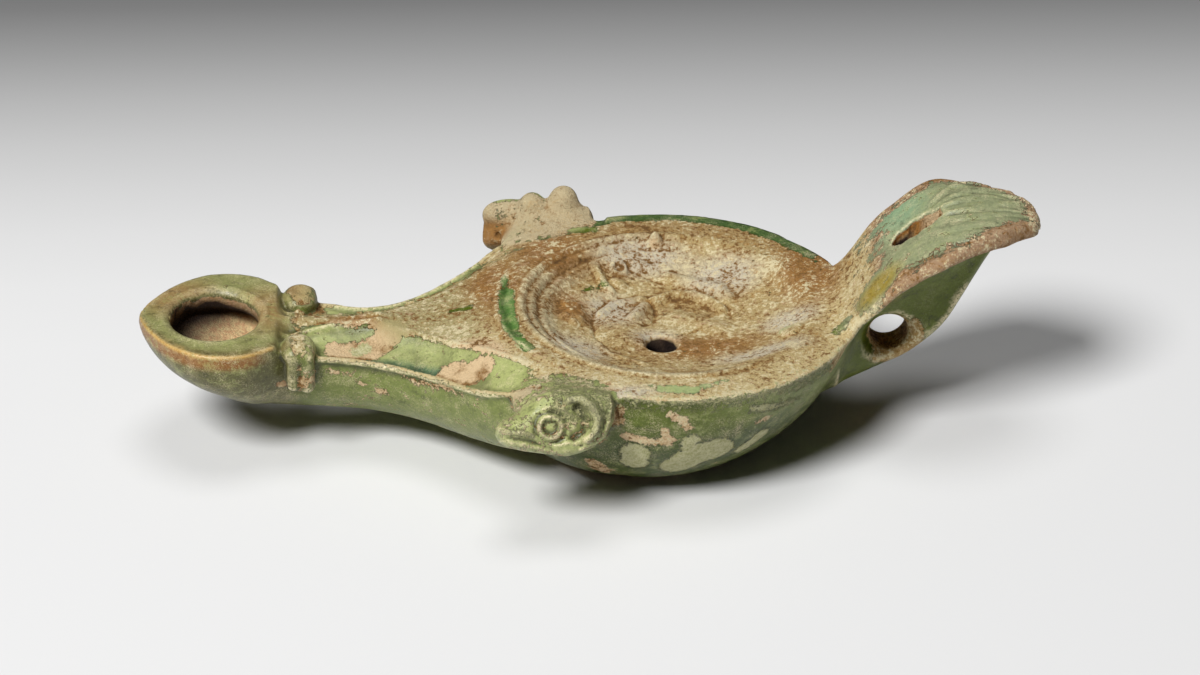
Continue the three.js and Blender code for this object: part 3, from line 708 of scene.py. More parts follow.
def mesh_from(name, vertices, quads):
    mesh = bpy.data.meshes.new(name)
    mesh.vertices.add(len(vertices))
    mesh.vertices.foreach_set("co", vertices.astype(np.float32).ravel())
    mesh.loops.add(4 * len(quads))
    mesh.loops.foreach_set("vertex_index", quads.astype(np.int32).ravel())
    mesh.polygons.add(len(quads))
    mesh.polygons.foreach_set("loop_start", np.arange(0, 4 * len(quads), 4, dtype=np.int32))
    mesh.update(calc_edges=True)
    mesh.validate()
    return mesh


def biggest_part(count, quads):
    """Marks the vertices of the largest connected part."""
    label = np.arange(count)
    pairs = np.concatenate([quads[:, [0, 1]], quads[:, [1, 2]], quads[:, [2, 3]]])
    while True:
        low = np.minimum(label[pairs[:, 0]], label[pairs[:, 1]])
        before = label.copy()
        np.minimum.at(label, pairs[:, 0], low)
        np.minimum.at(label, pairs[:, 1], low)
        label = label[label]
        label = label[label]
        if np.array_equal(before, label):
            return label == np.bincount(label).argmax()


def hollow_distance(p):
    """Roughly how far a point is from the walls of the oil chamber, the channel and the holes into them."""
    x, y, z = p.T
    wick, filling, _, _ = hole_fields(x, y, z)
    inner = np.where(x < -40, channel_field(x, y, z), chamber_field(x, y, z))
    inner = np.where(np.abs(x + 37) < 9, np.minimum(channel_field(x, y, z), chamber_field(x, y, z)), inner)
    shafts = np.minimum(wick, filling)
    return np.minimum(inner, np.where(z < np.where(x < -80, -4.6, -7.3), shafts, 9.0))


def skin_mesh():
    """The lamp's skin as a mesh object in metres."""
    axes = grid_axes()
    field = lamp_field(axes)
    vertices, quads = surface_net(field)
    keep = biggest_part(len(vertices), quads)
    quads = quads[keep[quads[:, 0]]]
    renumber = np.cumsum(keep) - 1
    points = vertices[keep] * GRID_STEP + [a[0] for a in axes]
    mesh = mesh_from("lamp_skin", set_down(points), renumber[quads])
    skin = bpy.data.objects.new("lamp_skin", mesh)
    bpy.context.scene.collection.objects.link(skin)
    thin_out(skin, points)
    return skin


def thin_out(skin, points):
    """Collapses the mesh to the triangle budget, most of all inside and least on the relief and the heads."""
    inside = hollow_distance(points) < 0.7
    x, y, z = points.T
    busy = (np.abs(y) > 38) & (np.abs(x - HEAD[0]) < 20)
    busy |= (z > -8) & (np.hypot(x, y) < 34)
    busy |= (x > 46) & (z > 8)
    busy |= (np.abs(x - VOLUTE[0]) < 7) & (np.abs(y) < 20)
    group = skin.vertex_groups.new(name="free")
    for chosen, weight in ((inside, 1.0), (~inside & ~busy, 0.9), (busy & ~inside, 0.55)):
        group.add(np.nonzero(chosen)[0].tolist(), weight, "REPLACE")
    thin = skin.modifiers.new("thin", "DECIMATE")
    thin.ratio = min(1.0, SKIN_TRIANGLES / (2 * len(skin.data.polygons)))
    thin.use_collapse_triangulate = True
    thin.vertex_group = group.name
    thin.vertex_group_factor = 0.02
    solid = skin.evaluated_get(bpy.context.evaluated_depsgraph_get())
    mesh = bpy.data.meshes.new_from_object(solid)
    skin.modifiers.clear()
    skin.vertex_groups.clear()
    skin.data = mesh
    mesh.name = "lamp_skin"
    mesh.shade_smooth()


# ---- where the glaze, the crust and the losses are


def srgb(r, g, b):
    """A colour given as 0 to 255 values, made linear."""
    c = np.array([r, g, b]) / 255
    return np.where(c < 0.04045, c / 12.92, ((c + 0.055) / 1.055) ** 2.4)


def palette(**colours):
    """Named colours, each given in the same way."""
    return {name: srgb(*values) for name, values in colours.items()}


def patch(p, centre, radii):
    """Soft 1 to 0 patch: 1 in the middle, 0.5 on the ellipsoid, 0 well outside."""
    q = (p - centre) / radii
    return np.clip(1.5 - np.sqrt((q ** 2).sum(1)), 0, 1)


def trail(p, points, width, soft=0.4):
    """The same along a run of points: 0.5 at the width, changing by soft for each millimetre."""
    best = np.full(len(p), 1e9)
    for a, b in zip(points, points[1:]):
        a, b = np.array(a, float), np.array(b, float)
        t = np.clip((p - a) @ (b - a) / ((b - a) @ (b - a)), 0, 1)
        best = np.minimum(best, np.linalg.norm(p - a - t[:, None] * (b - a), axis=1))
    return np.clip(0.5 + (width - best) * soft, 0, 1)


class Zones:
    """Soft masks over the skin's points, from 0 to 1, for the parts that differ in colour or wear."""

    def __init__(self, p, n):
        x, y, z = p.T
        self.p, self.x, self.y, self.z = p, x, y, z
        self.u, self.r = np.abs(y), np.hypot(x, y)
        low = leaf_low(x, y)
        leaf_face = rise(z, low - 4.4, low - 3.2)
        self.root = rise(x, 33, 37) * leaf_face * fall(x, 46, 60)
        self.leaf = rise(x, 44, 47.5) * leaf_face
        self.leaf_face = leaf_face
        self.web = rise(x, 38, 40) * (1 - leaf_face)
        edge_away = np.minimum(leaf_half(x) - self.u, LEAF_END_X - x)
        self.leaf_edge = self.leaf * fall(edge_away, 0.5, 7.0)
        on_body = rise(z, body_top(x, y) - 2.2, body_top(x, y) - 1.0) * (x < 44)
        to_head = np.minimum(head_field(x, y, z, -1), head_field(x, y, z, 1))
        self.head = fall(to_head, 0.3, 1.5)
        self.tops = rise(n[:, 2], 0.3, 0.6) * on_body * (1 - self.head) * (1 - self.leaf)
        self.neck = rise(x, -84, -78) * fall(x, -34, -27)
        self.plate = fall(x, -85, -81) * self.tops
        self.belly = fall(x, -85, -79) * (1 - self.tops)
        wide = platform_half(x)
        self.band = self.tops * self.neck * rise(self.u, wide + 0.2, wide + 1.4)
        self.flank = self.neck * (1 - self.tops)
        start, end, half, _ = SLOT
        in_slot = (np.abs(x - (start + end) / 2) < 6.2) & (self.u < half + 1.1)
        self.slot = in_slot * rise(leaf_surface(x, y) - z, 0.5, 1.2) * (z > leaf_mid(x) - 12)
        plain = (1 - self.tops) * (1 - self.web) * (1 - self.leaf) * (1 - self.root)
        self.bowl_side = plain * rise(x, -32, -26)


def laid(start, layers):
    """Lays values or colours one over the other, each by its own amount."""
    result = start
    for value, amount in layers:
        amount = np.clip(amount, 0, 1)
        if result.ndim == 2:
            amount = amount[:, None]
        result = result + (value - result) * amount
    return result


def coloured(colours, base, layers):
    """The base colour of a palette, with others of it laid over, each by its own amount."""
    start = np.tile(colours[base], (len(layers[0][1]), 1))
    return laid(start, [(colours[name], amount) for name, amount in layers])


CRESCENT = [  # each run of points with its width
    ([(-35.8, 12, 0), (-35.7, 5, 0)], 0.8),
    ([(-35.7, 5, 0), (-35.6, -4, 0), (-35.0, -11, 0)], 1.7),
    ([(-35.0, -11, 0), (-33.1, -17.5, 0), (-31.6, -20.6, 0)], 1.0),
]


def crescent(p):
    """The ragged green crescent left of the discus: 0.5 at its edge."""
    return highest(*(trail(p, points, width, 0.5) for points, width in CRESCENT))


TROUGH = [(-70, -12.2, -8.2), (-60.5, -13.6, -8.3), (-50, -19.2, -7.8)]


def glaze_colour(s):
    """Colour of the glaze under any crust, from place to place."""
    x, y, z, p = s.x, s.y, s.z, s.p
    edge = np.abs(np.abs(y) - plate_half(x)) + np.abs(z - PLATE_Z)
    gold = fall(edge, 0.3, 1.1) * fall(x, -88, -85) * fall(y, 6, 12)
    amber = rise(z, -7.6, -5.6) * fall(z, -4.2, -3.4) * fall(x, -92, -87)
    brown = np.maximum(patch(p, (-109, 8, -3), (8, 8, 6)), patch(p, (-90, 2, -3), (6, 9, 6)))
    rim = rise(x, -36, -28) * rise(s.r, 38.6, 39.8) * rise(y, -4, 8)
    return coloured(GLAZE, "bowl", [
        ("bowl_light", s.bowl_side * rise(z, -13, -5) * rise(x, 2, 18)),
        ("dark", s.bowl_side * rise(-z, 7, 16)),
        ("flank", s.flank),
        ("band", s.band),
        ("trough", 1.3 * trail(p, TROUGH, 2.0) * s.band),
        ("plate", s.plate),
        ("plate_brown", s.plate * brown),
        ("plate_edge", 0.75 * fall(edge, 1.6, 3.8) * fall(y, -3, 5) * s.plate),
        ("belly", s.belly),
        ("amber", amber * fall(y, -2, 4) * (1 - s.plate)),
        ("gold", gold),
        ("groove", 2 * crescent(p)),
        ("rim", rim * fall(x, 38, 41) * (1 - s.head)),
        ("leaf", s.leaf_face * rise(x, 36, 40)),
        ("leaf_green", s.leaf * patch(p, (52, 10, 17), (7, 7, 7))),
        ("web", s.web),
        ("olive", 1.3 * patch(p, (46.6, -11, 9.4), (6, 3.6, 6))),
        ("head", s.head),
        ("pale_patch", s.tops * fall(y, -34, -30) * rise(x, -20, -14)),
    ])


def earth_colour(s):
    """Colour of the burial crust and of the clay where the glaze is lost."""
    x, y, z, p = s.x, s.y, s.z, s.p
    shoulder = rise(s.r, 33, 35) * fall(s.r, 41, 42) * s.tops
    moulding = rise(s.r, 24, 26) * fall(s.r, 32, 34) * s.tops
    creams = [("cream", 1.1 * patch(p, *spot)) for spot in DISCUS_CREAM]
    rusts = [("rust", 1.1 * patch(p, *spot)) for spot in RUST_SPOTS]
    return coloured(EARTH, "crust", [
        ("rust", 0.3 * shoulder * rise(y - x, -20, 20)),
        ("sand", 0.8 * shoulder * fall(y, -30, -16)),
        ("sand", s.root + rise(s.r, 38.8, 40.2) * s.tops * fall(y, -14, -2)),
        ("olive", 0.6 * s.neck * s.tops * fall(x, -46, -38)),
        ("grey", 0.8 * moulding * rise(-x - 0.6 * y, -4, 12)),
        *creams,
        *rusts,
        ("pink", 1.4 * patch(p, (-70, -7.5, -7), (8, 6, 4))),
        ("pink", fall(np.hypot(x + 45, y + 22), 8, 11)),
        ("pink", s.bowl_side + s.flank),
        ("sand", fall(np.hypot(s.u - ridge_half(x), z - ridge_z(x)), 1.2, 2.2) * s.neck),
        ("grey", s.head * 0.7 + 0.8 * patch(p, (-27, -40, 2), (9, 5, 5))),
        ("pink", s.head * (y < 0) * 0.3),
        ("rust", 1.3 * patch(p, (-38, 42, -5.5), (7, 5, 3)) * (y > 0)),
        ("mauve", s.leaf),
        ("mauve", s.belly),
        ("plate", s.plate),
        ("gold", s.web * 0.6),
        ("amber", s.slot),
        ("pink", s.slot * rise(x, 55.5, 57.5)),
    ])


def bare_amount(s):
    """How far the surface is crust or clay: 0 is glaze, 1 is not, and 0.5 is the edge between them."""
    x, y, z, p, u = s.x, s.y, s.z, s.p, s.u
    ridge = np.hypot(u - ridge_half(x), z - ridge_z(x))
    bore_away = np.hypot(x - BORE[0], z - BORE[1])
    beyond = rise(x - z, BORE[0] - BORE[1] - 2, BORE[0] - BORE[1] + 4)
    far_rim = rise(s.r, 38.4, 40.4) * rise(y, 0, 10)
    far_rim = far_rim * fall(x, 36, 40) * rise(x, -20, -14)
    bare = laid(np.full(len(p), 0.12), [
        (0.95, s.tops * (x > -84)),
        (0.17, s.band * (y < 0)),
        (0.62, s.band * (y > 0)),
        (0.16, s.plate),
        (0.8, fall(ridge, 0.7, 1.5) * s.neck * rise(x, -82, -76)),
        (0.0, s.belly),
        (0.22, s.flank),
        (0.05, far_rim),
        (0.9, s.root),
        (0.2, s.leaf_face * rise(x + 1.5 * np.sin(0.7 * y), 38, 54)),
        (0.85, s.leaf_edge),
        (0.2, 1.6 * patch(p, (46.6, -11, 9.4), (6.4, 4, 6)) * s.leaf_face),
        (0.06, s.web),
        (0.95, s.web * fall(u, 2, 4) * fall(z - web_keel(x), 1.2, 3)),
        (0.9, s.web * fall(bore_away, 6.6, 9) * beyond),
        (0.8, s.web * fall(bore_away, 4.6, 5.4)),
        (0.36, s.head),
        (0.48, s.head * fall(u, 38, 43)),
        (0.8, s.head * (y > 0)),
        (0.9, rise(-s.r, -37, -35) * rise(z, -12, -11)),
        (0.7, fall(z, -BODY_HEIGHT + 1.5, -BODY_HEIGHT + 3)),
        (1.0, s.slot),
    ])
    for points, width in LOST_TRAILS:
        bare = np.maximum(bare, 1.05 * trail(p, points, width))
    for points, width in GREEN_TRAILS:
        bare = np.minimum(bare, 1 - 1.15 * trail(p, points, width))
    return np.minimum(bare, 1 - 1.25 * crescent(p))


def granular_amount(s):
    """How strongly the bare surface is speckled: full for burial crust, little for clay under lost glaze."""
    p = s.p
    calm = [1.6 * trail(p, points, width + 1.0) for points, width in LOST_TRAILS if width > 2.5]
    ridge = 0.95 * fall(np.hypot(s.u - ridge_half(s.x), s.z - ridge_z(s.x)), 1, 2) * s.neck
    far_head = 0.7 * s.head * (s.y > 0)
    glazed_web = s.web * fall(bare_amount(s), 0.3, 0.5)
    quiet = highest(*calm, ridge, s.slot, 0.2 * s.leaf_edge, glazed_web, far_head)
    return 1 - 0.75 * np.clip(quiet, 0, 1)


def pale_amount(s):
    """Cream deposits, in the same way."""
    pale = np.full(len(s.p), 0.1)
    for points, width, value in PALE_TRAILS:
        pale = np.maximum(pale, value * trail(s.p, points, width, 0.3))
    near = fall(s.y, -14, -2)
    rim_band = 0.4 * rise(s.r, 39.2, 40.6) * s.tops * near * rise(s.x, -22, -14)
    crescent_edge = 0.7 * bump(crescent(s.p) - 0.32, 0.16) * rise(s.x, -36.6, -35.8)
    dust = s.bowl_side * rise(s.z, -8, -1.5) * near * 0.5
    return highest(pale, rim_band, crescent_edge, dust)


def neighbour_mean(values, edges, rounds):
    """Vertex values averaged with their neighbours, a number of times."""
    count = len(values)
    degree = np.bincount(edges.ravel(), minlength=count)[:, None] + 1
    for _ in range(rounds):
        total = values.copy()
        for axis in range(values.shape[1]):
            total[:, axis] += np.bincount(edges[:, 0], weights=values[edges[:, 1], axis], minlength=count)
            total[:, axis] += np.bincount(edges[:, 1], weights=values[edges[:, 0], axis], minlength=count)
        values = total / degree
    return values


def vectors_of(items, key):
    values = np.empty(3 * len(items), dtype=np.float32)
    items.foreach_get(key, values)
    return values.reshape(-1, 3)


def wear_and_pool(zones, p, n, edges):
    """Where raised edges are worn and where glaze or dirt gathers in hollows."""
    x, y, _ = p.T
    near = neighbour_mean(p, edges, 5)
    wide = neighbour_mean(near, edges, 45)
    proud, proud_wide = ((p - near) * n).sum(1), ((p - wide) * n).sum(1)
    far_edge = rise(y, 0, 10) * rise(zones.r, 37, 39) * rise(x, -20, -14)
    kept = highest(0.85 * rise(-x, 85, 88), 0.5 * zones.leaf, far_edge * (x < 38))
    wear = rise(proud, 0.07, 0.26) * (1 - kept)
    pool = np.maximum(rise(-proud, 0.03, 0.16), 0.7 * rise(-proud_wide, 0.15, 0.9))
    return wear, pool * (1 + 0.5 * zones.head * (y < 0))


def paint(skin):
    """Writes the painting to the mesh as colour attributes."""
    mesh = skin.data
    edges = np.empty(2 * len(mesh.edges), dtype=np.int32)
    mesh.edges.foreach_get("vertices", edges)
    p, n = lift_up(vectors_of(mesh.vertices, "co").astype(float)), vectors_of(mesh.vertex_normals, "vector")
    x, y, z = p.T
    zones = Zones(p, n)
    wear, pool = wear_and_pool(zones, p, n, edges.reshape(-1, 2))
    slot_end = (x > SLOT[0]) * fall(x, 53, 56) * rise(leaf_mid(x) - z, 2, 3.5) * zones.slot
    hollow = np.maximum(fall(hollow_distance(p), 0.5, 1.1), slot_end)
    # Painted shade, near black: the wick hole's far wall (its brown glaze painted darker as shade), the deep
    # end of the slot and the filling hole's shaft. Inside the hollows this painted shade takes the place of
    # the darkening in recesses.
    wick_wall = rise(z, -13.5, -10.5) * (x < -80) * rise(y, -6, 0)
    hole_shade = highest(wick_wall, slot_end, rise(-z, 7.2, 7.9) * (np.hypot(x, y) < 30))
    pool = pool + (hole_shade - pool) * hollow
    layers = {
        "glaze": glaze_colour(zones).T,
        "earth": earth_colour(zones).T,
        "marks": (bare_amount(zones), pale_amount(zones), wear),
        "depth": (pool, hollow, granular_amount(zones)),
    }
    for name, values in layers.items():
        layer = mesh.attributes.new(name, "FLOAT_COLOR", "POINT")
        colours = np.column_stack([*values, np.ones(len(p))])
        layer.data.foreach_set("color", colours.astype(np.float32).ravel())


GLAZE = palette(
    bowl=(84, 96, 22),
    bowl_light=(110, 122, 48),
    dark=(58, 73, 10),
    flank=(112, 122, 58),
    band=(158, 164, 104),
    trough=(84, 110, 80),
    plate=(132, 132, 82),
    plate_brown=(146, 120, 76),
    plate_edge=(100, 84, 46),
    belly=(92, 90, 48),
    gold=(190, 150, 78),
    amber=(134, 88, 36),
    groove=(86, 122, 58),
    pale_patch=(150, 164, 110),
    rim=(66, 90, 46),
    leaf=(138, 144, 108),
    leaf_green=(136, 160, 124),
    web=(86, 99, 0),
    olive=(148, 128, 52),
    head=(158, 164, 104),
)

EARTH = palette(
    crust=(184, 160, 108),
    sand=(204, 184, 132),
    rust=(156, 112, 58),
    grey=(186, 174, 138),
    olive=(166, 160, 112),
    cream=(206, 196, 172),
    pink=(220, 192, 150),
    mauve=(170, 138, 106),
    plate=(150, 122, 76),
    gold=(184, 146, 84),
    amber=(168, 112, 40),
)

# centre and radii of each patch
DISCUS_CREAM = [
    ((-4.5, 26, -2), (10, 5, 6)),
    ((-11, -39.5, 0), (6, 2.4, 3)),
    ((13.8, 19, -3), (8, 6, 6)),
    ((-12, 7, -4), (7, 6, 6)),
    ((20, -17, -3), (10, 3.5, 6)),
    ((28, -3, -3), (6, 4, 6)),
    ((-20, -14, -3), (6, 6, 6)),
    ((-2.4, -4.6, -6.8), (5, 4, 3)),
]

RUST_SPOTS = [
    ((-21, 6, -4), (4, 6, 6)),
    ((8, -9, -6), (12, 5, 6)),
    ((-25, 24, 0), (8, 9, 6)),
    ((34, 16, 0), (8, 14, 6)),
    ((-38, 10, 0), (7, 10, 6)),
    ((-70, -1.5, -4), (5, 3, 4)),
]

# runs of points with their width, and for the pale ones their strength too
LOST_TRAILS = [
    ([(-49, -19.4, -6), (-45.5, -21.8, -5), (-42, -21.4, -4.4)], 3.4),
    ([(-73.5, -8.6, -7.5), (-66, -8, -7.5), (-62, -5, -5.5)], 3.0),
    ([(-10.5, -40, -11), (-6.5, -40.4, -12), (-1.5, -40.6, -11.7), (-2.5, -41.4, -9.1)], 1.2),
    ([(-1.5, -42.4, -4), (1.5, -42, -6), (2.5, -41.6, -7.9)], 0.9),
    ([(18, -36, -9.5), (20, -35, -9.2)], 0.6),
    ([(-27, -40, -17), (-19.6, -36, -21), (-15, -32, -25)], 2.2),
    ([(-69, -12, -14), (-67.6, -12, -14)], 0.7),
    ([(-64, -12.4, -15.6), (-62.6, -12.4, -15.8)], 0.7),
    ([(-75, -12.6, -11), (-70, -12.6, -12)], 0.6),
    ([(-59, -15.5, -10.5), (-52, -20, -10), (-46, -25, -9.4)], 0.5),
    ([(-36, -35, -3), (-30, -36, -1)], 1.4),
    ([(-80.6, -13.6, -6), (-80, -13.4, -13)], 2.2),
    ([(-82.4, 11.8, -3), (-81.4, 11.8, -3)], 2.6),
    ([(-12.4, -41.5, -3), (-12.4, -41.4, -9)], 1.2),
]

GREEN_TRAILS = [
    ([(-75, 10, -7.5), (-63, 14, -8), (-50, 21, -7), (-42, 28, -5)], 1.5),
    ([(-48, 1, -2), (-44, 1, -2)], 0.7),
    ([(-19, 34.6, 0), (-15, 35, 0)], 1.3),
    ([(-6, -37.2, 0), (-1, -38.0, 0)], 0.9),
    ([(-2.6, -38.2, 0), (3.6, -38.6, 0)], 1.4),
    ([(3.6, -38, 0), (7, -37, 0)], 0.6),
    ([(9, -35.6, 0), (11, -35, 0)], 0.7),
    ([(-17, 14, -4), (-13, 16, -4)], 0.8),
    ([(-37, 47.5, 1.4), (-31, 46.5, 2.6)], 1.2),
    ([(-29, 45, 3), (-26, 45, 4)], 0.8),
    ([(37, -14, 0), (40, -12, 2)], 1.2),
]

PALE_TRAILS = [
    ([(1.5, -35.6, -20.5), (5, -37.2, -17), (8.8, -36.6, -16.2)], 4.6, 1.0),
    ([(3, -40.2, -13), (3.6, -40.4, -12)], 2.2, 0.95),
    ([(-8.6, -38.6, -15.8), (-8.4, -36.6, -19)], 3.6, 0.85),
    ([(15.4, -32.5, -18.5), (19.3, -32.7, -14.8)], 2.2, 0.95),
    ([(17, -38.4, -5), (24, -34.4, -7), (30.6, -29, -7.5)], 1.6, 0.8),
    ([(23, -36, -3), (31.4, -29, -3.5), (37.6, -20.4, -3)], 1.2, 0.74),
    ([(-69, -8, -8), (-67, -7, -8)], 1.7, 0.9),
    ([(-76, -4, -5), (-70, -3.4, -5), (-60, -7, -5), (-50, -13, -4)], 0.8, 0.55),
    ([(24.5, -8.8, -2), (27.6, -8, -2)], 1.5, 0.7),
    ([(-23.3, -45.9, 1.7), (-21.1, -45.7, 2), (-18.7, -46.5, 0.6), (-17.3, -47.9, -1.8),
      (-17.7, -49.2, -4.1)], 1.5, 0.8),
    ([(-38.5, -49, -3.7), (-33.7, -49.4, -4.5), (-30.7, -49.8, -5.2)], 1.2, 0.72),
    ([(-73, -12.6, -7.4), (-60, -15.6, -8), (-52, -20.8, -7.2), (-45, -27, -6)], 0.8, 0.8),
]

# ---- the material


class Nodes:
    """A small wrapper that adds shader nodes and joins them."""

    def __init__(self, name):
        self.material = bpy.data.materials.new(name)
        self.material.use_nodes = True
        self.tree = self.material.node_tree
        self.shader = self.tree.nodes["Principled BSDF"]

    def add(self, kind, inputs, **settings):
        node = self.tree.nodes.new(kind)
        for key, value in settings.items():
            setattr(node, key, value)
        for key, value in inputs.items():
            if isinstance(value, bpy.types.NodeSocket):
                self.tree.links.new(value, node.inputs[key])
            else:
                node.inputs[key].default_value = value
        return node

    def math(self, operation, a, b):
        return self.add("ShaderNodeMath", {0: a, 1: b}, operation=operation).outputs[0]

    def sum(self, *terms):
        total = terms[0]
        for term in terms[1:]:
            total = self.math("ADD", total, term)
        return total

    def times(self, a, b):
        return self.math("MULTIPLY", a, b)

    def spread(self, start, *pairs):
        """The start with each pair's 0 to 1 value added as plus or minus half its amount."""
        total = start
        for value, amount in pairs:
            total = self.math("ADD", total, self.times(self.math("SUBTRACT", value, 0.5), amount))
        return total

    def step(self, value, low, high):
        inputs = {"Value": value, "From Min": low, "From Max": high}
        return self.add("ShaderNodeMapRange", inputs, interpolation_type="SMOOTHSTEP").outputs[0]

    def mix(self, amount, a, b, blend="MIX"):
        node = self.add("ShaderNodeMix", {"Factor": amount}, data_type="RGBA", blend_type=blend)
        for value, key in ((a, 6), (b, 7)):
            if isinstance(value, bpy.types.NodeSocket):
                self.tree.links.new(value, node.inputs[key])
            else:
                node.inputs[key].default_value = (*value, 1)
        return node.outputs[2]

    def scaled(self, colour, amount):
        """A colour made lighter or darker by a number."""
        grey = self.add("ShaderNodeCombineColor", {0: amount, 1: amount, 2: amount}).outputs[0]
        return self.mix(1.0, colour, grey, "MULTIPLY")

    def noise(self, where, scale, detail=4.0, roughness=0.55):
        inputs = {"Vector": where, "Scale": scale, "Detail": detail, "Roughness": roughness}
        return self.add("ShaderNodeTexNoise", inputs).outputs["Fac"]

    def stretched(self, where, factors):
        return self.add("ShaderNodeVectorMath", {0: where, 1: factors}, operation="MULTIPLY").outputs[0]

    def layer(self, name):
        node = self.tree.nodes.new("ShaderNodeAttribute")
        node.attribute_name = name
        return node.outputs["Color"]

    def parts(self, colour):
        return self.add("ShaderNodeSeparateColor", {0: colour}).outputs


class WornGlaze(Nodes):
    """The lamp's nodes, with the painting and the noise patterns that its layers share, in millimetres."""

    def __init__(self):
        super().__init__("worn_lead_glaze")
        place = self.add("ShaderNodeTexCoord", {}).outputs["Object"]
        where = self.stretched(place, (1000, 1000, 1000))
        self.bare, self.pale, self.wear = list(self.parts(self.layer("marks")))[:3]
        self.pool, self.hollow, self.granular = list(self.parts(self.layer("depth")))[:3]
        shifted = self.add("ShaderNodeVectorMath", {0: where, 1: (37, 11, 53)}, operation="ADD").outputs[0]
        self.broad = self.noise(where, 0.11, 3, 0.5)
        self.patchy = self.noise(self.stretched(where, (0.55, 1, 1)), 0.33, 4, 0.6)
        self.blotch = self.noise(shifted, 0.28, 4, 0.6)
        self.tinted = self.noise(shifted, 1.1, 4, 0.7)
        self.middle = self.noise(where, 0.75, 4, 0.6)
        self.fine = self.noise(where, 1.8, 4, 0.7)
        self.finest = self.noise(where, 4.5, 3, 0.7)
        warp = self.add("ShaderNodeTexNoise", {"Vector": where, "Scale": 1.1, "Detail": 2.0}).outputs["Color"]
        bent = self.add("ShaderNodeVectorMath", {0: where, 1: warp}, operation="ADD").outputs[0]
        grain = self.add("ShaderNodeTexVoronoi", {"Vector": bent, "Scale": 1.5})
        self.grain_tone = self.parts(grain.outputs["Color"])[0]


def glaze_layer(m):
    """The glaze: darker where thick or pooled, milky where thin, flecked, and worn to cream at the edges."""
    glaze = m.layer("glaze")
    dense = m.spread(0.5, (m.patchy, 2.0), (m.middle, 1.2), (m.fine, 1.0))
    glaze = m.mix(m.times(m.step(dense, 0.45, -0.1), 0.9), glaze, m.scaled(glaze, 0.5))
    dusty = m.mix(0.45, glaze, GLAZE_MILKY)
    glaze = m.mix(m.times(m.step(dense, 0.5, 0.95), m.granular), glaze, dusty)
    glaze = m.scaled(glaze, m.spread(1.0, (m.fine, 0.7), (m.tinted, 0.5)))
    flecks = m.times(m.step(m.spread(m.finest, (m.blotch, 0.5)), 0.54, 0.66), m.times(m.granular, 0.5))
    glaze = m.mix(flecks, glaze, EDGE_CREAM)
    glaze = m.scaled(glaze, m.sum(1.0, m.times(m.pool, -0.5)))
    return m.mix(m.times(m.wear, m.step(m.fine, 0.36, 0.56)), glaze, EDGE_CREAM)


def earth_layer(m):
    """Burial crust in warm and pale grains outside, and plain clay in the hollow inside, with near-black
    painted shade in its deep places and colours brightened as painted light.
    """
    earth = m.layer("earth")
    hue = m.spread(0.0, (m.blotch, 1.5), (m.tinted, 1.5), (m.grain_tone, 0.3))
    earth = m.mix(m.times(m.step(hue, 0.02, 0.5), m.times(m.granular, 0.75)), earth, CRUST_OCHRE)
    earth = m.mix(m.times(m.step(hue, -0.05, -0.5), m.times(m.granular, 0.75)), earth, CRUST_PINK)
    tone = m.spread(0.0, (m.broad, 1.3), (m.blotch, 1.0), (m.middle, 1.5), (m.fine, 1.6))
    tone = m.spread(tone, (m.grain_tone, 0.5), (m.finest, 0.8))
    tone = m.sum(m.times(tone, m.granular), m.times(m.wear, 0.22), m.times(m.pool, -0.4), 0.5)
    earth = m.mix(m.step(tone, 0.46, 0.05), earth, DARK_RUST)
    earth = m.mix(m.step(tone, 0.58, 0.95), earth, EDGE_CREAM)
    earth = m.mix(m.times(m.step(tone, 0.1, -0.3), 0.7), earth, DEEP_BROWN)
    # Painted light: the clay colours and this scale are brighter than the clay itself, so the floor inside
    # the wick hole looks well lit.
    clay = m.mix(m.step(m.middle, 0.4, 0.65), LIT_CLAY_BUFF, LIT_CLAY_PINK)
    clay = m.scaled(clay, m.sum(0.6, m.times(m.fine, 0.5), m.times(m.middle, 0.4)))
    # inside the hollow the clay gives way to near-black painted shade in the deep places
    return m.mix(m.hollow, earth, m.mix(m.pool, clay, HOLE_SHADE))


def deposit_layer(m):
    """Cream deposits, greenish in places."""
    greenish = m.step(m.spread(0.5, (m.fine, 1.0), (m.middle, 0.8)), 0.35, 0.75)
    return m.mix(greenish, DEPOSIT_LIGHT, DEPOSIT_GREEN)


def surface_height(m, matt):
    """Bump height: smooth glaze with a little unevenness, and a crumbly crust that stands above it."""
    crumbly = m.sum(m.times(m.fine, 0.7), m.times(m.finest, 0.5), m.times(m.middle, 0.6))
    smooth = m.sum(m.times(m.middle, 0.16), m.times(m.fine, 0.1), m.times(m.finest, 0.03))
    return m.sum(smooth, m.times(crumbly, m.times(matt, 0.8)), m.times(matt, 0.12))


def lamp_material():
    """Green lead glaze, granular crust, bare clay and cream deposits, laid one over the other."""
    m = WornGlaze()
    ragged = m.spread(0.0, (m.patchy, 1.3), (m.middle, 1.0), (m.fine, 1.0))
    crusted = m.step(m.sum(m.bare, ragged, m.times(m.hollow, 2.0)), 0.45, 0.55)
    creamed = m.step(m.spread(m.pale, (m.middle, 0.7), (m.fine, 0.8), (m.finest, 0.4)), 0.44, 0.58)
    colour = m.mix(crusted, glaze_layer(m), earth_layer(m))
    colour = m.mix(m.times(creamed, 0.95), colour, deposit_layer(m))
    m.tree.links.new(colour, m.shader.inputs["Base Color"])

    matt = m.math("MAXIMUM", crusted, m.times(creamed, 0.9))
    roughness = m.sum(0.24, m.times(m.fine, 0.2), m.times(matt, 0.44))
    m.tree.links.new(roughness, m.shader.inputs["Roughness"])
    m.shader.inputs["Specular IOR Level"].default_value = 0.36
    height = surface_height(m, matt)
    bump = m.add("ShaderNodeBump", {"Height": height, "Strength": 1.0, "Distance": BUMP_DEPTH})
    m.tree.links.new(bump.outputs[0], m.shader.inputs["Normal"])
    return m.material


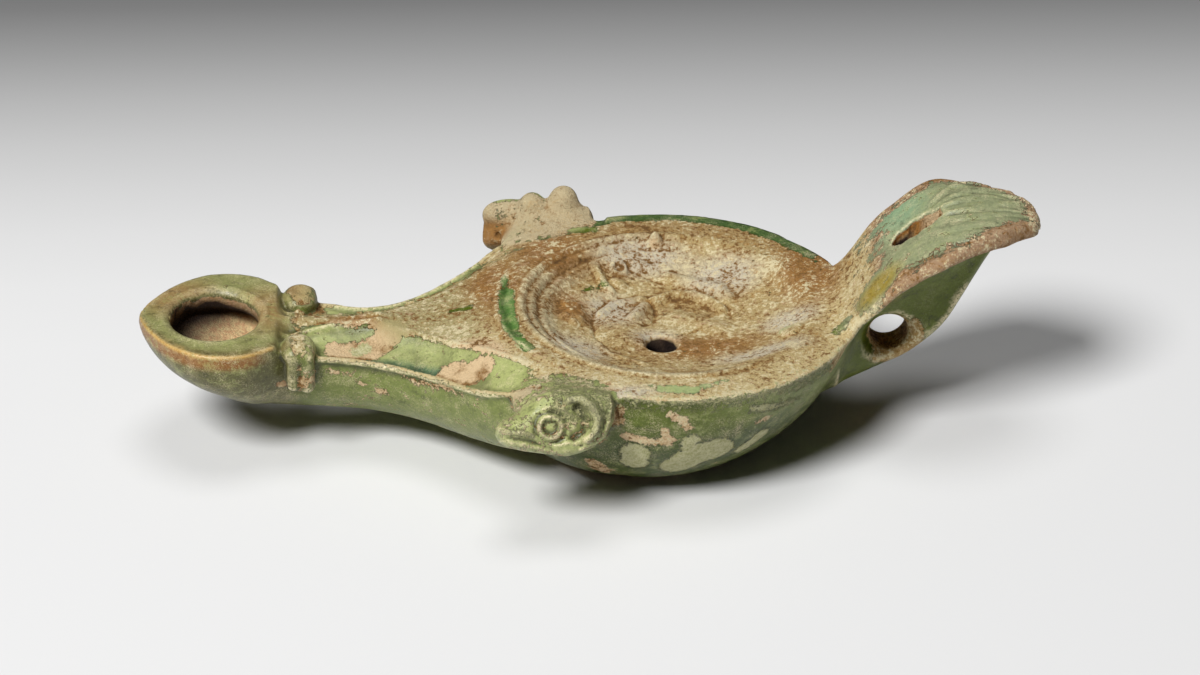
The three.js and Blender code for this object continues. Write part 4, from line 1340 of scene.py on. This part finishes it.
BUMP_DEPTH = 0.0007  # metres
GLAZE_MILKY = srgb(164, 170, 106)
CRUST_OCHRE = srgb(172, 126, 58)
CRUST_PINK = srgb(204, 172, 136)
EDGE_CREAM = srgb(222, 208, 166)
DARK_RUST = srgb(136, 98, 48)
DEEP_BROWN = srgb(94, 66, 34)
# near-black painted shade for the deep insides of the holes
HOLE_SHADE = srgb(40, 24, 14)
# clay colours made brighter than the clay, as painted light for the floor inside the wick hole
LIT_CLAY_BUFF = srgb(230, 202, 148)
LIT_CLAY_PINK = srgb(208, 164, 120)
DEPOSIT_LIGHT = srgb(206, 202, 158)
DEPOSIT_GREEN = srgb(168, 166, 112)

# ---- the floor, the light and the camera

CAMERA_AZIMUTH = math.radians(-2.519)
CAMERA_ELEVATION = math.radians(29.505)
CAMERA_TARGET = Vector((-0.00844, -0.01589, 0.03174))
CAMERA_DISTANCE = 0.9016
CAMERA_LENS = 123.1
# azimuth and elevation in degrees, distance and size in metres, watts
KEY_LIGHT = (-128, 50, 2.6, 0.9, 80)
OVERHEAD_LIGHT = (90, 86, 1.3, 0.6, 4.6)
LIGHT_TARGET = Vector((0, 0, 0.02))
WORLD_STRENGTH = 0.012
SENSOR_WIDTH = 36
FLOOR_HALF = 4.0
# distance back from the lamp's middle and the floor's tone there, darker towards the back as painted shade
# for the light falling off
FLOOR_TONES_WITH_PAINTED_SHADE = [(-0.1, 219), (0.04, 221), (0.07, 219), (0.097, 213), (0.121, 204), (0.146, 192), (0.172, 175),
               (0.2, 151), (0.229, 122), (0.27, 92)]


def from_sphere(azimuth, elevation, distance):
    flat = distance * math.cos(elevation)
    return Vector((flat * math.cos(azimuth), flat * math.sin(azimuth), distance * math.sin(elevation)))


def aimed(obj, place, target):
    turn = (target - place).to_track_quat("-Z", "Y")
    obj.matrix_world = Matrix.Translation(place) @ turn.to_matrix().to_4x4()
    bpy.context.scene.collection.objects.link(obj)
    return obj


def area_light(name, azimuth, elevation, distance, size, power):
    lamp = bpy.data.lights.new(name, "AREA")
    lamp.shape = "DISK"
    lamp.size = size
    lamp.energy = power
    place = from_sphere(math.radians(azimuth), math.radians(elevation), distance)
    return aimed(bpy.data.objects.new(name, lamp), place, LIGHT_TARGET)


def floor_piece():
    """A pale floor with painted shade that darkens it towards the back, where the light falls off."""
    mesh = bpy.data.meshes.new("floor")
    corners = [(a * FLOOR_HALF, b * FLOOR_HALF, 0) for a, b in ((-1, -1), (1, -1), (1, 1), (-1, 1))]
    mesh.from_pydata(corners, [], [(0, 1, 2, 3)])
    floor = bpy.data.objects.new("floor", mesh)
    bpy.context.scene.collection.objects.link(floor)
    m = Nodes("pale_paper_with_painted_shade")
    place = m.add("ShaderNodeTexCoord", {}).outputs["Object"]
    back = m.add("ShaderNodeSeparateXYZ", {0: place}).outputs[1]
    first, last = FLOOR_TONES_WITH_PAINTED_SHADE[0][0], FLOOR_TONES_WITH_PAINTED_SHADE[-1][0]
    share = m.add("ShaderNodeMapRange", {"Value": back, "From Min": first, "From Max": last}).outputs[0]
    ramp = m.add("ShaderNodeValToRGB", {0: share})
    stops = ramp.color_ramp.elements
    while len(stops) < len(FLOOR_TONES_WITH_PAINTED_SHADE):
        stops.new(0.5)
    for stop, (y, tone) in zip(stops, FLOOR_TONES_WITH_PAINTED_SHADE):
        stop.position = (y - first) / (last - first)
        stop.color = (*srgb(tone, tone, tone), 1)
    m.tree.links.new(ramp.outputs[0], m.shader.inputs["Base Color"])
    m.shader.inputs["Roughness"].default_value = 0.7
    m.shader.inputs["Specular IOR Level"].default_value = 0.2
    mesh.materials.append(m.material)


def studio():
    scene = bpy.context.scene
    scene.view_settings.view_transform = "Standard"
    scene.world = bpy.data.worlds.new("studio")
    scene.world.use_nodes = True
    background = scene.world.node_tree.nodes["Background"]
    background.inputs["Color"].default_value = (1, 1, 1, 1)
    background.inputs["Strength"].default_value = WORLD_STRENGTH
    area_light("key", *KEY_LIGHT)
    area_light("overhead", *OVERHEAD_LIGHT)
    floor_piece()
    lens = bpy.data.cameras.new("camera")
    lens.lens = CAMERA_LENS
    lens.sensor_width = SENSOR_WIDTH
    away = Vector((math.sin(CAMERA_AZIMUTH) * math.cos(CAMERA_ELEVATION),
                   -math.cos(CAMERA_AZIMUTH) * math.cos(CAMERA_ELEVATION), math.sin(CAMERA_ELEVATION)))
    place = CAMERA_TARGET + away * CAMERA_DISTANCE
    scene.camera = aimed(bpy.data.objects.new("camera", lens), place, CAMERA_TARGET)


# ---- putting it together

studio()
skin = skin_mesh()
paint(skin)
skin.data.materials.append(lamp_material())
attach(skin, "root")
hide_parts("lamp")
